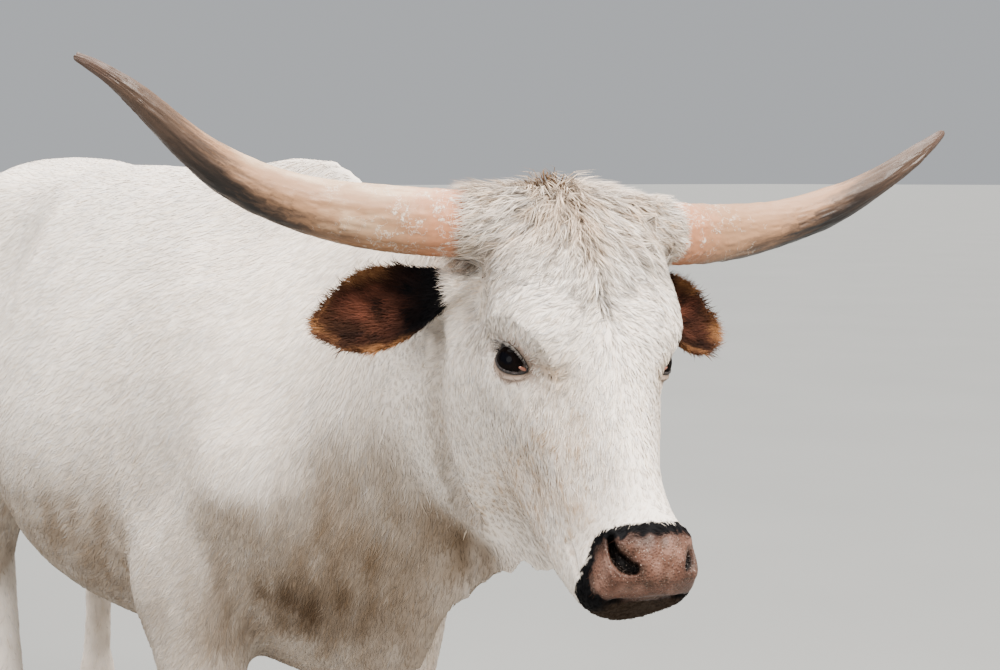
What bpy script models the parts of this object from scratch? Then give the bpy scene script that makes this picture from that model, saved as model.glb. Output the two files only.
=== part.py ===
"""A life-size Texas longhorn steer, standing, with its head turned a little to its own right.

The animal faces -Y with +Z up, in metres, and stands on z = 0. Trunk, neck, legs and head are lofted from
named cross-sections, fused, smoothed and then parted by thin cuts. Horns, ears, eyes, hooves and tail meet
those cuts face to face.
"""

import math
from dataclasses import dataclass

import bmesh
import bpy
import numpy as np
from mathutils import Matrix, Vector
from mathutils.bvhtree import BVHTree

# The gap that two touching pieces keep between their meshes.
GAP = 0.0003

# Edges shorter than this are closed up after a cut or a union.
SLIVER = 0.00005

# How the head is carried: where the middle of the poll is, and how the head turns, nods and tips.
HEAD_AT = (0.028, -1.278, 1.351)
HEAD_TURN = math.radians(-10.0)
HEAD_TIP = math.radians(3.2)
HEAD_NOD = math.radians(-32.5)

# Fineness of the fused flesh, how often it is smoothed, and the triangles that are kept of it.
BODY_VOXEL = 0.012
HEAD_VOXEL = 0.0036
BODY_TRIANGLES = 4300
HEAD_TRIANGLES = 3600
BODY_SMOOTHING = (8, 3)
HEAD_SMOOTHING = 10
RING_POINTS = 36
RING_FULLNESS = 0.85
LOFT_STEPS = 6

# Eyes, in the head's own frame: x to the animal's left, -y out of the face, z up towards the poll.
EYE_RADIUS = 0.0200
EYE_AT = Vector((0.0890, 0.058, -0.197))
EYE_AXIS = Vector((0.80, -0.60, 0.02)).normalized()
LID_THICKNESS = 0.0045
LID_SLANT = math.radians(48)
EYE_OPENING = (0.0185, 0.0130, 0.0220)
EYE_OPENING_RISE = 0.004

# Horns: the bend of the core line in the head's frame, and the radius along its length.
HORN_LINE = ((0.116, 0.037, -0.032), (0.44, 0.140, 0.022), (0.457, -0.068, 0.025), (0.566, -0.037, 0.101))
HORN_RADII = (0.0405, 0.0402, 0.0390, 0.0366, 0.0330, 0.0296, 0.0255, 0.0205, 0.0158, 0.0108, 0.0050)
HORN_RINGS = 18
HORN_SIDES = 16
HORN_BOSS_RADIUS = 0.046
HORN_BOSS_DEPTH = 0.075
STUB_LENGTH = 0.006
POCKET_SPARE = 0.006
POCKET_LENGTH = 0.050

# Ears: where the root is in the head's frame, which way the ear points and opens, and its size.
EAR_ROOT = Vector((0.132, 0.100, -0.079))
EAR_AXIS = Vector((0.90, 0.43, 0.02)).normalized()
EAR_OPENS = Vector((0.36, -0.88, -0.12)).normalized()
EAR_LENGTH = 0.163
EAR_ROOT_RADIUS = 0.021
EAR_HALF_WIDTHS = (0.021, 0.034, 0.0465, 0.0525, 0.0500, 0.0390, 0.0110)
EAR_CUP_DEPTHS = (0.018, 0.026, 0.032, 0.032, 0.026, 0.018, 0.009)
EAR_WALL = 0.0055
EAR_RINGS = 11
EAR_SIDES = 22
EAR_DROOP = 0.022
EAR_DROOP_CURVE = 0.85

# The ear's outline: where it stops being solid, and how its ring of points rounds off.
EAR_SOLID_SHARE = 0.28
EAR_ROUNDING = 0.70
EAR_INNER_WIDTH = 0.97

# Feet: each hoof is two claws.
CLAW_OFFSET = 0.0265
CLAW_HALF_WIDTH = 0.0240
CORONET_TOE_HEIGHT = 0.066
CORONET_HEEL_HEIGHT = 0.046
HOOF_TOE_SLOPE = 0.036
DEWCLAW_RADIUS = 0.014
DEWCLAW_SHAPE = (0.85, 1.0, 1.5)
DEWCLAW_OFFSET = 0.021
DEWCLAW_DROP = 0.022
CLAW_SIDES = 16
CLAW_CLEARANCE = 0.0015
CLAW_HEEL_INSET = 0.004

# Stance: how far each foot stands ahead of (-) or behind (+) its place under the joint above.
FORE_SWING_HEIGHT = 0.90
HIND_SWING_HEIGHT = 0.98
STRIDES = {"foreleg_right": -0.02, "foreleg_left": 0.03, "hindleg_right": -0.22, "hindleg_left": 0.25}

# Tail: the core line from the tail head down, with its radii, and the switch of long hair at its end.
TAIL_LINE = (
    (0.000, 0.738, 1.326), (0.000, 0.780, 1.284), (-0.008, 0.796, 1.190), (-0.030, 0.796, 1.000),
    (-0.060, 0.792, 0.800), (-0.090, 0.788, 0.610),
)
TAIL_RADII = (0.036, 0.032, 0.026, 0.022, 0.018, 0.015)
TAIL_SIDES = 12
TAIL_ROOT_DEPTH = 0.060
SWITCH_LOCKS = 18
SWITCH_LENGTH = 0.36
SWITCH_ROOTS = 0.16
SWITCH_LOCK_WIDTH = 0.026
SWITCH_LOCK_DEPTH = 0.012
SWITCH_SPREADS = (0.0, 0.70, 1.00, 0.85, 0.60)
SWITCH_SPREAD_RANGE = (0.020, 0.034)
GOLDEN_ANGLE = math.radians(137.5)

# Every lock: where its rings are along it, and how wide and deep it is at each.
LOCK_STATIONS = (0.0, 0.22, 0.50, 0.78, 1.0)
LOCK_WIDTHS = (0.70, 1.00, 0.90, 0.60, 0.10)
LOCK_DEPTHS = (1.00, 1.00, 0.90, 0.70, 0.25)
LOCK_SEED = 11

# Locks of longer hair on the poll and forehead, in rows from the crown down the face.
POLL_ROWS = 5
POLL_COLUMNS = 5
POLL_ROW_TOP = 0.020
POLL_ROW_STEP = 0.034
POLL_COLUMN_STEP = 0.021
POLL_REACH = 0.080
POLL_REACH_TAPER = 0.012
POLL_LOCK_LENGTH = 0.056
POLL_LOCK_WIDTH = 0.022
POLL_LOCK_DEPTH = 0.009
POLL_LOCK_RISES = (-0.0065, 0.0020, 0.0050, 0.0062, 0.0066)
PARTING_HALF_WIDTH = 0.008
POLL_ROOT_JITTER = 0.0035
POLL_SIZE_JITTER = 0.12
COMB_REACH = 0.075
COMB_SIDEWAYS = (0.35, 0.75)
COMB_DOWNWARD = (0.90, 0.45)
COMB_FORWARD = -0.15
COMB_CREST = 12.0
FOREHEAD_DEPTH = -0.06


@dataclass(frozen=True)
class Section:
    """One cross-section: it runs from start to end, both (y, z), and is widths wide to each side of it.

    On the trunk and neck start is the top line, and on the head and legs it is the front. The half-widths
    are those at 15, 50 and 85 percent of the way. side is how far the section stands out from the middle.
    """

    start: tuple
    end: tuple
    widths: tuple
    side: float = 0.0

    def row(self):
        return (*self.start, *self.end, *self.widths, self.side)


WIDTH_AT = (0.15, 0.50, 0.85)

TRUNK = (
    Section((0.722, 1.180), (0.700, 0.980), (0.070, 0.100, 0.070)),
    Section((0.705, 1.325), (0.655, 0.850), (0.120, 0.175, 0.120)),
    Section((0.590, 1.388), (0.550, 0.765), (0.195, 0.232, 0.150)),
    Section((0.400, 1.412), (0.390, 0.725), (0.232, 0.260, 0.155)),
    Section((0.210, 1.396), (0.205, 0.642), (0.205, 0.286, 0.215)),
    Section((-0.050, 1.392), (-0.050, 0.588), (0.200, 0.318, 0.262)),
    Section((-0.270, 1.386), (-0.270, 0.582), (0.190, 0.310, 0.252)),
    Section((-0.460, 1.386), (-0.450, 0.590), (0.150, 0.272, 0.212)),
    Section((-0.625, 1.402), (-0.620, 0.600), (0.105, 0.248, 0.178)),
    Section((-0.750, 1.396), (-0.800, 0.606), (0.086, 0.224, 0.130)),
    Section((-0.860, 1.358), (-0.950, 0.660), (0.072, 0.172, 0.068)),
    Section((-0.960, 1.342), (-1.045, 0.765), (0.070, 0.134, 0.038)),
    Section((-1.070, 1.340), (-1.125, 0.838), (0.078, 0.112, 0.030)),
    Section((-1.170, 1.335), (-1.200, 0.874), (0.088, 0.106, 0.026)),
    Section((-1.235, 1.300), (-1.268, 0.892), (0.078, 0.086, 0.030)),
    Section((-1.270, 1.240), (-1.330, 0.922), (0.050, 0.060, 0.034)),
)

FORELEG = (
    Section((-0.850, 0.990), (-0.540, 1.010), (0.055, 0.078, 0.055), 0.158),
    Section((-0.800, 0.840), (-0.490, 0.850), (0.056, 0.080, 0.058), 0.172),
    Section((-0.745, 0.720), (-0.470, 0.735), (0.056, 0.074, 0.052), 0.182),
    Section((-0.716, 0.620), (-0.525, 0.620), (0.052, 0.064, 0.042), 0.180),
    Section((-0.692, 0.510), (-0.578, 0.510), (0.042, 0.049, 0.035), 0.174),
    Section((-0.694, 0.425), (-0.584, 0.425), (0.045, 0.052, 0.039), 0.172),
    Section((-0.676, 0.355), (-0.598, 0.355), (0.033, 0.038, 0.030), 0.170),
    Section((-0.662, 0.270), (-0.604, 0.270), (0.024, 0.028, 0.024), 0.169),
    Section((-0.665, 0.185), (-0.598, 0.185), (0.028, 0.032, 0.028), 0.168),
    Section((-0.675, 0.138), (-0.592, 0.138), (0.037, 0.043, 0.036), 0.168),
    Section((-0.690, 0.098), (-0.607, 0.092), (0.037, 0.042, 0.036), 0.168),
    Section((-0.716, 0.058), (-0.612, 0.040), (0.042, 0.049, 0.042), 0.168),
    Section((-0.722, 0.048), (-0.610, 0.028), (0.040, 0.048, 0.040), 0.168),
)

HINDLEG = (
    Section((0.330, 1.060), (0.725, 1.080), (0.055, 0.080, 0.055), 0.140),
    Section((0.285, 0.860), (0.722, 0.930), (0.060, 0.088, 0.055), 0.158),
    Section((0.330, 0.750), (0.712, 0.800), (0.052, 0.076, 0.044), 0.166),
    Section((0.440, 0.660), (0.690, 0.700), (0.044, 0.058, 0.033), 0.168),
    Section((0.548, 0.570), (0.702, 0.595), (0.034, 0.040, 0.020), 0.166),
    Section((0.592, 0.500), (0.724, 0.530), (0.036, 0.043, 0.026), 0.164),
    Section((0.607, 0.415), (0.705, 0.420), (0.033, 0.037, 0.028), 0.162),
    Section((0.602, 0.300), (0.676, 0.300), (0.026, 0.031, 0.025), 0.160),
    Section((0.585, 0.195), (0.658, 0.195), (0.029, 0.033, 0.029), 0.158),
    Section((0.570, 0.143), (0.655, 0.143), (0.038, 0.043, 0.036), 0.158),
    Section((0.552, 0.100), (0.636, 0.094), (0.036, 0.041, 0.035), 0.158),
    Section((0.522, 0.058), (0.626, 0.040), (0.041, 0.048, 0.041), 0.158),
    Section((0.516, 0.048), (0.628, 0.028), (0.039, 0.047, 0.039), 0.158),
)

HEAD = (
    Section((0.014, 0.024), (0.085, 0.006), (0.066, 0.078, 0.070)),
    Section((-0.017, -0.014), (0.125, -0.030), (0.099, 0.113, 0.092)),
    Section((-0.031, -0.070), (0.168, -0.083), (0.107, 0.117, 0.086)),
    Section((-0.035, -0.135), (0.210, -0.132), (0.103, 0.113, 0.084)),
    Section((-0.029, -0.205), (0.238, -0.186), (0.084, 0.106, 0.080)),
    Section((-0.019, -0.270), (0.241, -0.258), (0.058, 0.088, 0.070)),
    Section((-0.013, -0.335), (0.211, -0.338), (0.044, 0.072, 0.060)),
    Section((-0.010, -0.397), (0.176, -0.408), (0.040, 0.058, 0.051)),
    Section((-0.013, -0.440), (0.144, -0.456), (0.047, 0.059, 0.046)),
    Section((-0.002, -0.472), (0.122, -0.478), (0.046, 0.057, 0.040)),
    Section((0.024, -0.486), (0.104, -0.490), (0.031, 0.043, 0.026)),
)


@dataclass(frozen=True)
class Swell:
    """A rounded rise (or, with a negative height, a hollow) centred at a point, felt out to its radius."""

    at: tuple
    radius: float
    height: float


# On the body each swell is given for the animal's left, and the right side has the same.
BODY_SWELLS = (
    Swell((0.225, 0.330, 1.365), 0.085, 0.022),
    Swell((0.270, 0.190, 1.215), 0.150, -0.036),
    Swell((0.125, 0.690, 1.300), 0.070, 0.020),
    Swell((0.235, 0.500, 1.240), 0.140, -0.016),
    Swell((0.245, 0.560, 1.020), 0.170, 0.020),
    Swell((0.215, 0.330, 0.820), 0.095, 0.018),
    Swell((0.200, -0.835, 0.940), 0.095, 0.028),
    Swell((0.215, -0.650, 1.170), 0.160, 0.016),
    Swell((0.245, -0.430, 0.920), 0.130, -0.012),
    Swell((0.215, -0.560, 0.790), 0.100, 0.016),
    Swell((0.120, -0.880, 1.100), 0.130, -0.020),
    Swell((0.100, -0.950, 0.930), 0.090, -0.014),
    Swell((0.160, -0.640, 1.330), 0.100, -0.014),
)

HEAD_SWELLS = (
    Swell((0.100, 0.034, -0.168), 0.050, 0.014),
    Swell((0.092, 0.012, -0.206), 0.034, 0.008),
    Swell((0.100, 0.085, -0.210), 0.034, 0.006),
    Swell((0.062, -0.030, -0.180), 0.040, 0.005),
    Swell((0.086, 0.125, -0.185), 0.080, 0.010),
    Swell((0.092, 0.075, -0.285), 0.045, 0.007),
    Swell((0.080, 0.120, -0.320), 0.045, -0.008),
    Swell((0.104, 0.075, -0.130), 0.034, -0.010),
    Swell((0.055, -0.002, -0.430), 0.024, 0.006),
    Swell((0.060, 0.062, -0.455), 0.032, 0.005),
    Swell((0.000, -0.036, -0.100), 0.050, 0.005),
    Swell((0.058, 0.020, -0.360), 0.034, -0.004),
)

# The mouth's line and the nostrils' slits, as points in the head's frame for the left side.
MOUTH_LINE = (
    (0.000, 0.034, -0.492), (0.030, 0.040, -0.488), (0.050, 0.054, -0.470), (0.058, 0.072, -0.442),
    (0.058, 0.086, -0.406),
)
MOUTH_RADIUS = 0.0038
MOUTH_SIDES = 5
NOSTRIL_LINE = (
    (0.050, -0.010, -0.428), (0.048, -0.014, -0.442), (0.039, -0.012, -0.456), (0.027, -0.006, -0.461),
)
NOSTRIL_RADII = (0.0030, 0.0052, 0.0066, 0.0045)
NOSTRIL_INWARD = Vector((-0.10, 0.85, 0.50)).normalized()
NOSTRIL_DEPTH = 0.022
NOSTRIL_LAYERS = ((-0.45, 1.15, 1.0), (0.35, 0.95, 1.0), (1.0, 0.45, 0.6))

# Thin cuts that part the body: the middle of each, its half-extent, and its tilt about X and Y.
NECK_BASE_CUT = ((0.0, -0.850, 1.060), (0.40, 0.48), math.radians(13))
FOOT_OFFCUT_HEIGHT = 0.085
LEG_BOTTOM_HEIGHT = 0.10
LEG_TOP_SPARE = 0.12
NECK_SPAN = (-1.16, -0.95)
NECK_BOTTOM_HEIGHT = 0.5
TORSO_END = 0.6
LEG_CUTS = {
    "foreleg": ((0.185, -0.620, 0.668), (0.155, 0.200), math.radians(40)),
    "hindleg": ((0.175, 0.560, 0.712), (0.160, 0.260), 0.0),
}
HEAD_CUT_AT = (0.0, 0.150, -0.060)
HEAD_CUT_SIZE = (0.20, 0.42)
HEAD_CUT_TILT = math.radians(22)

WHITE_HIDE = ("white_hide", (0.80, 0.76, 0.70), 0.85)
EAR_HIDE = ("ear_hide", (0.10, 0.055, 0.035), 0.85)
HORN = ("horn", (0.62, 0.48, 0.34), 0.55)
HOOF = ("hoof", (0.13, 0.11, 0.09), 0.60)
EYE = ("eye", (0.02, 0.014, 0.012), 0.08)


def head_matrix():
    """The head's own frame, placed on the neck."""
    return (
        Matrix.Translation(HEAD_AT)
        @ Matrix.Rotation(HEAD_TURN, 4, "Z")
        @ Matrix.Rotation(HEAD_TIP, 4, "Y")
        @ Matrix.Rotation(HEAD_NOD, 4, "X")
    )


def smooth_rows(rows, steps):
    """The rows with steps - 1 more between each two, on one Catmull-Rom curve."""
    rows = np.array(rows, float)
    ends = np.vstack([2 * rows[0] - rows[1], rows, 2 * rows[-1] - rows[-2]])
    made = []
    for p0, p1, p2, p3 in zip(ends, ends[1:], ends[2:], ends[3:]):
        for t in np.arange(steps) / steps:
            made.append(
                p1
                + 0.5 * t * (p2 - p0)
                + t * t * (p0 - 2.5 * p1 + 2 * p2 - 0.5 * p3)
                + t**3 * (1.5 * (p1 - p2) + 0.5 * (p3 - p0))
            )
    made.append(rows[-1])
    return np.array(made)


def section_ring(row, points=RING_POINTS):
    """The closed ring of points of one section row."""
    start, end, widths, side = row[0:2], row[2:4], row[4:7], row[7]
    angle = 2 * math.pi * np.arange(points) / points
    along = (1 - np.cos(angle)) / 2
    round_at = [math.sqrt(1 - (2 * t - 1) ** 2) ** RING_FULLNESS for t in WIDTH_AT]
    shares = np.polyfit(WIDTH_AT, np.array(widths) / round_at, 2)
    half = np.polyval(shares, along) * np.abs(np.sin(angle)) ** RING_FULLNESS * np.sign(np.sin(angle))
    middle = start[None, :] * (1 - along[:, None]) + end[None, :] * along[:, None]
    return np.column_stack([side + half, middle])


def loft(sections, steps=LOFT_STEPS):
    """The rings of a smooth loft through the sections."""
    rows = smooth_rows([s.row() for s in sections], steps)
    return [section_ring(row) for row in rows]


def swung(rings, pivot_height, stride):
    """A leg's rings with the foot moved fore or aft, and the hoof left level."""
    moved = []
    for ring in rings:
        share = np.clip((pivot_height - ring[:, 2]) / (pivot_height - CORONET_TOE_HEIGHT), 0, 1)
        moved.append(ring + np.column_stack([0 * share, stride * share, 0 * share]))
    return moved


def mirrored(rings):
    """Rings of the animal's right from those of its left."""
    return [ring[::-1] * np.array([-1.0, 1.0, 1.0]) for ring in rings]


def shell(rings):
    """A closed bmesh through the rings, facing out."""
    made = bmesh.new()
    loops = [[made.verts.new(point) for point in ring] for ring in rings]
    count = len(loops[0])
    for first, second in zip(loops, loops[1:]):
        for i in range(count):
            j = (i + 1) % count
            made.faces.new((first[i], first[j], second[j], second[i]))
    made.faces.new(loops[0][::-1])
    made.faces.new(loops[-1])
    bmesh.ops.recalc_face_normals(made, faces=made.faces)
    if made.calc_volume(signed=True) < 0:
        bmesh.ops.reverse_faces(made, faces=made.faces)
    return made


def ball(radius, at, scale=(1.0, 1.0, 1.0), turn=None, segments=16, rings=10):
    """A closed ellipsoid bmesh."""
    made = bmesh.new()
    matrix = Matrix.Translation(at) @ (turn or Matrix()) @ Matrix.Diagonal((*scale, 1.0))
    bmesh.ops.create_uvsphere(made, u_segments=segments, v_segments=rings, radius=radius, matrix=matrix)
    return made


def mesh_object(name, shells, look=WHITE_HIDE):
    """An object that holds the shells side by side. The shells are freed."""
    mesh = bpy.data.meshes.new(name)
    joined = bmesh.new()
    for part in shells:
        part.to_mesh(mesh)
        joined.from_mesh(mesh)
        part.free()
    joined.to_mesh(mesh)
    joined.free()
    made = bpy.data.objects.new(name, mesh)
    bpy.context.scene.collection.objects.link(made)
    mesh.materials.append(material(*look))
    return made


def material(name, colour, roughness):
    """The named Principled material, made once."""
    found = bpy.data.materials.get(name)
    if found:
        return found
    made = bpy.data.materials.new(name)
    made.use_nodes = True
    shader = made.node_tree.nodes["Principled BSDF"]
    shader.inputs["Base Color"].default_value = (*colour, 1.0)
    shader.inputs["Roughness"].default_value = roughness
    shader.inputs["Metallic"].default_value = 0.0
    made.diffuse_color = (*colour, 1.0)
    return made


def settle(made):
    """Applies the object's modifiers to its mesh."""
    graph = bpy.context.evaluated_depsgraph_get()
    graph.update()
    old = made.data
    made.data = bpy.data.meshes.new_from_object(made.evaluated_get(graph))
    made.modifiers.clear()
    made.data.name = made.name
    bpy.data.meshes.remove(old)


def fused(name, shells, voxel):
    """One closed surface round all the shells."""
    made = mesh_object(name, shells)
    remesh = made.modifiers.new("fuse", "REMESH")
    remesh.mode = "VOXEL"
    remesh.voxel_size = voxel
    settle(made)
    return made


def points_of(mesh):
    """The mesh's vertices as an array."""
    points = np.empty(len(mesh.vertices) * 3)
    mesh.vertices.foreach_get("co", points)
    return points.reshape(-1, 3)


def normals_of(mesh):
    """The mesh's vertex normals as an array."""
    normals = np.empty(len(mesh.vertices) * 3)
    mesh.vertex_normals.foreach_get("vector", normals)
    return normals.reshape(-1, 3)


def relax(mesh, rounds, shrink=0.50, grow=-0.53):
    """Taubin smoothing: it softens creases and keeps the volume."""
    edges = np.empty(len(mesh.edges) * 2, int)
    mesh.edges.foreach_get("vertices", edges)
    first, second = edges.reshape(-1, 2).T
    points = points_of(mesh)
    count = np.bincount(np.r_[first, second], minlength=len(points))[:, None]
    for step in range(rounds * 2):
        total = np.zeros_like(points)
        for axis in range(3):
            total[:, axis] = np.bincount(
                np.r_[first, second], np.r_[points[second, axis], points[first, axis]], len(points)
            )
        points += (total / count - points) * (grow if step % 2 else shrink)
    mesh.vertices.foreach_set("co", points.ravel())
    mesh.update()


def swell(mesh, swells):
    """Raises or hollows the surface at each swell and at its mirror image."""
    points = points_of(mesh)
    for each in swells:
        normals = normals_of(mesh)
        for side in (1, -1):
            at = np.array(each.at) * (side, 1, 1)
            near = np.clip(1 - ((points - at) ** 2).sum(1) / (each.radius * 1.5) ** 2, 0, 1) ** 2
            points += normals * (near * each.height)[:, None]
            if each.at[0] == 0:
                break
        mesh.vertices.foreach_set("co", points.ravel())
        mesh.update()


def thin(made, triangles):
    """Keeps about this many triangles of the surface."""
    reduce = made.modifiers.new("thin", "DECIMATE")
    reduce.ratio = triangles / max(1, 2 * len(made.data.polygons))
    settle(made)


def combined(made, shells, operation, solver="EXACT"):
    """Joins the shells to the object, or cuts them from it, and applies the result."""
    tools = bpy.data.collections.new("tools")
    bpy.context.scene.collection.children.link(tools)
    for number, part in enumerate(shells):
        bmesh.ops.triangulate(part, faces=part.faces)
        tool = mesh_object(f"tool_{number}", [part])
        bpy.context.scene.collection.objects.unlink(tool)
        tools.objects.link(tool)
    change = made.modifiers.new(operation.lower(), "BOOLEAN")
    change.operation = operation
    change.operand_type = "COLLECTION"
    change.collection = tools
    change.solver = solver
    settle(made)
    for tool in list(tools.objects):
        bpy.data.meshes.remove(tool.data)
    bpy.data.collections.remove(tools)


def loose_parts(made):
    """Each closed surface of the object as its own bmesh, largest first."""
    whole = bmesh.new()
    whole.from_mesh(made.data)
    unseen = set(whole.faces)
    groups = []
    while unseen:
        group, edge = set(), [unseen.pop()]
        while edge:
            face = edge.pop()
            group.add(face)
            for neighbour in {f for e in face.edges for f in e.link_faces} & unseen:
                unseen.discard(neighbour)
                edge.append(neighbour)
        groups.append(group)
    parts = []
    for group in sorted(groups, key=len, reverse=True):
        part = bmesh.new()
        places = {}
        for face in group:
            for vert in face.verts:
                places.setdefault(vert, None)
        for vert in whole.verts:
            if vert in places:
                places[vert] = part.verts.new(vert.co)
        for face in whole.faces:
            if face in group:
                part.faces.new([places[v] for v in face.verts])
        parts.append(part)
    whole.free()
    return parts


def replace_mesh(made, part):
    """Gives the object the bmesh as its mesh, in triangles that meet two at every edge."""
    for sliver in (SLIVER, 0.4 * SLIVER, 2 * SLIVER, 4 * SLIVER, 0.0):
        for way in ("BEAUTY", "EAR_CLIP"):
            trial = part.copy()
            if sliver:
                bmesh.ops.dissolve_degenerate(trial, dist=sliver, edges=trial.edges)
            clear_folds(trial)
            bmesh.ops.triangulate(trial, faces=trial.faces, ngon_method=way)
            clear_folds(trial)
            if all(edge.is_manifold for edge in trial.edges):
                trial.to_mesh(made.data)
                trial.free()
                part.free()
                return
            trial.free()
    raise ValueError(f"{made.name} has an edge that more than two faces share")


def clear_folds(part):
    """Deletes pairs of faces folded flat on each other, and edges and points that no face uses."""
    seen, folded = {}, []
    for face in part.faces:
        key = frozenset(face.verts)
        if key in seen:
            folded += [face, seen[key]]
        seen[key] = face
    bmesh.ops.delete(part, geom=folded, context="FACES_ONLY")
    bmesh.ops.delete(part, geom=[e for e in part.edges if not e.link_faces], context="EDGES")
    bmesh.ops.delete(part, geom=[v for v in part.verts if not v.link_faces], context="VERTS")


def slab(half_x, half_y, matrix, thickness=GAP):
    """A thin plate that cuts, as a closed bmesh."""
    made = bmesh.new()
    size = Matrix.Diagonal((2 * half_x, 2 * half_y, thickness, 1.0))
    bmesh.ops.create_cube(made, size=1.0, matrix=matrix @ size)
    return made


def pocket(start, direction, radius):
    """A round plug that cuts away what stands past a root's plane."""
    start, direction = Vector(start), Vector(direction)
    line = [start, start + direction * POCKET_LENGTH]
    return shell(tube_rings(line, [radius, radius], HORN_SIDES, direction))


def facing(direction, across=Vector((0, 0, 1))):
    """A rotation whose z axis is the direction and whose x axis is as near as can be to across."""
    z = Vector(direction).normalized()
    y = z.cross(across).normalized()
    x = y.cross(z)
    return Matrix((x, y, z)).transposed().to_4x4()


def bezier(line, count):
    """Points on the cubic curve of four controls."""
    t = np.linspace(0, 1, count)[:, None]
    a, b, c, d = (np.array(p, float) for p in line)
    return (1 - t) ** 3 * a + 3 * (1 - t) ** 2 * t * b + 3 * (1 - t) * t * t * c + t**3 * d


def tube_rings(points, radii, sides, flat_start=None):
    """Round rings along a line, turned as little as can be from one to the next."""
    points = np.array(points, float)
    tangents = np.gradient(points, axis=0)
    tangents /= np.linalg.norm(tangents, axis=1)[:, None]
    if flat_start is not None:
        tangents[0] = np.array(flat_start)
    across = np.cross(tangents[0], (0.0, 0.0, 1.0) if abs(tangents[0][2]) < 0.9 else (1.0, 0.0, 0.0))
    rings = []
    for point, tangent, radius in zip(points, tangents, radii):
        across = across - tangent * (across @ tangent)
        across /= np.linalg.norm(across)
        up = np.cross(tangent, across)
        angle = 2 * math.pi * np.arange(sides)[:, None] / sides
        rings.append(point + radius * (np.cos(angle) * across + np.sin(angle) * up))
    return rings


def horn_rings(grow=0.0):
    """The left horn's rings in the head's frame."""
    line = bezier(HORN_LINE, 3 * HORN_RINGS)
    length = np.r_[0, np.cumsum(np.linalg.norm(np.diff(line, axis=0), axis=1))]
    at = np.linspace(0, length[-1], HORN_RINGS)
    line = np.column_stack([np.interp(at, length, line[:, k]) for k in range(3)])
    radii = np.interp(np.linspace(0, 1, HORN_RINGS), np.linspace(0, 1, len(HORN_RADII)), HORN_RADII)
    direction = horn_direction()
    line = line + np.array(direction) * (GAP - grow)
    return tube_rings(line, radii + grow, HORN_SIDES, direction)


def horn_direction():
    """The way the left horn leaves the head."""
    return (Vector(HORN_LINE[1]) - Vector(HORN_LINE[0])).normalized()


def ear_frame():
    """The left ear's frame: x along the ear, y out of its back, z across it."""
    x = EAR_AXIS
    y = -(EAR_OPENS - x * EAR_OPENS.dot(x)).normalized()
    z = x.cross(y)
    return Matrix.Translation(EAR_ROOT) @ Matrix((x, y, z)).transposed().to_4x4()


def ear_rings():
    """The left ear: solid at its root, and a cup with a wall of even thickness from there to its tip."""
    place = ear_frame()
    half = EAR_SIDES // 2
    rings = []
    for s in np.linspace(0, 1, EAR_RINGS):
        reach = s**0.9
        stations = np.linspace(0, 1, len(EAR_HALF_WIDTHS))
        width = np.interp(reach, stations, EAR_HALF_WIDTHS)
        cup = np.interp(reach, stations, EAR_CUP_DEPTHS)
        hollow = np.clip(s / EAR_SOLID_SHARE, 0, 1)
        hollow = hollow * hollow * (3 - 2 * hollow)
        inner = (1 - hollow) * -EAR_ROOT_RADIUS * 0.8 + hollow * (cup - EAR_WALL)
        droop = -EAR_DROOP * s**EAR_DROOP_CURVE
        ring = []
        for k in range(half):
            v = math.cos(math.pi * (k + 0.5) / half)
            ring.append((GAP + EAR_LENGTH * reach, cup * (1 - v * v) ** EAR_ROUNDING, width * v + droop))
        for k in range(half):
            v = -math.cos(math.pi * (k + 0.5) / half)
            lining = inner * (1 - v * v) ** EAR_ROUNDING - EAR_WALL * 0.25
            ring.append((GAP + EAR_LENGTH * reach, lining, width * EAR_INNER_WIDTH * v + droop))
        rings.append(np.array([place @ Vector(p) for p in ring]))
    return rings


def placed(rings, matrix):
    """Rings moved by the matrix."""
    return [np.array([matrix @ Vector(p) for p in ring]) for ring in rings]


def lock_rings(centres, normals, direction, width, depth):
    """Three-sided rings of a flat tapered lock, with its ridge on the side that the normals point to."""
    rings = []
    for centre, normal, wide, thick in zip(centres, normals, LOCK_WIDTHS, LOCK_DEPTHS):
        across = Vector(direction).cross(normal).normalized() * (width * wide / 2)
        ridge = normal * (depth * thick / 2)
        rings.append(np.array([centre - across - ridge, centre + across - ridge, centre + ridge]))
    return rings


def poll_lock(tree, root, direction, length, width):
    """A lock that follows the head's surface, with its root sunk in it."""
    centres, normals = [], []
    for share, rise in zip(LOCK_STATIONS, POLL_LOCK_RISES):
        place, normal, _, _ = tree.find_nearest(Vector(root) + Vector(direction) * (length * share))
        centres.append(place + normal * rise)
        normals.append(normal)
    return shell(lock_rings(centres, normals, direction, width, POLL_LOCK_DEPTH))


def combing(side, reach, height):
    """The way the poll's hair lies: more sideways away from the parting, and upward at the crest."""
    outward = COMB_SIDEWAYS[0] + COMB_SIDEWAYS[1] * min(1.0, reach / COMB_REACH)
    downward = COMB_DOWNWARD[0] - COMB_DOWNWARD[1] * min(1.0, reach / COMB_REACH)
    return Vector((side * outward, COMB_FORWARD, COMB_CREST * max(0.0, height) - downward))


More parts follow.
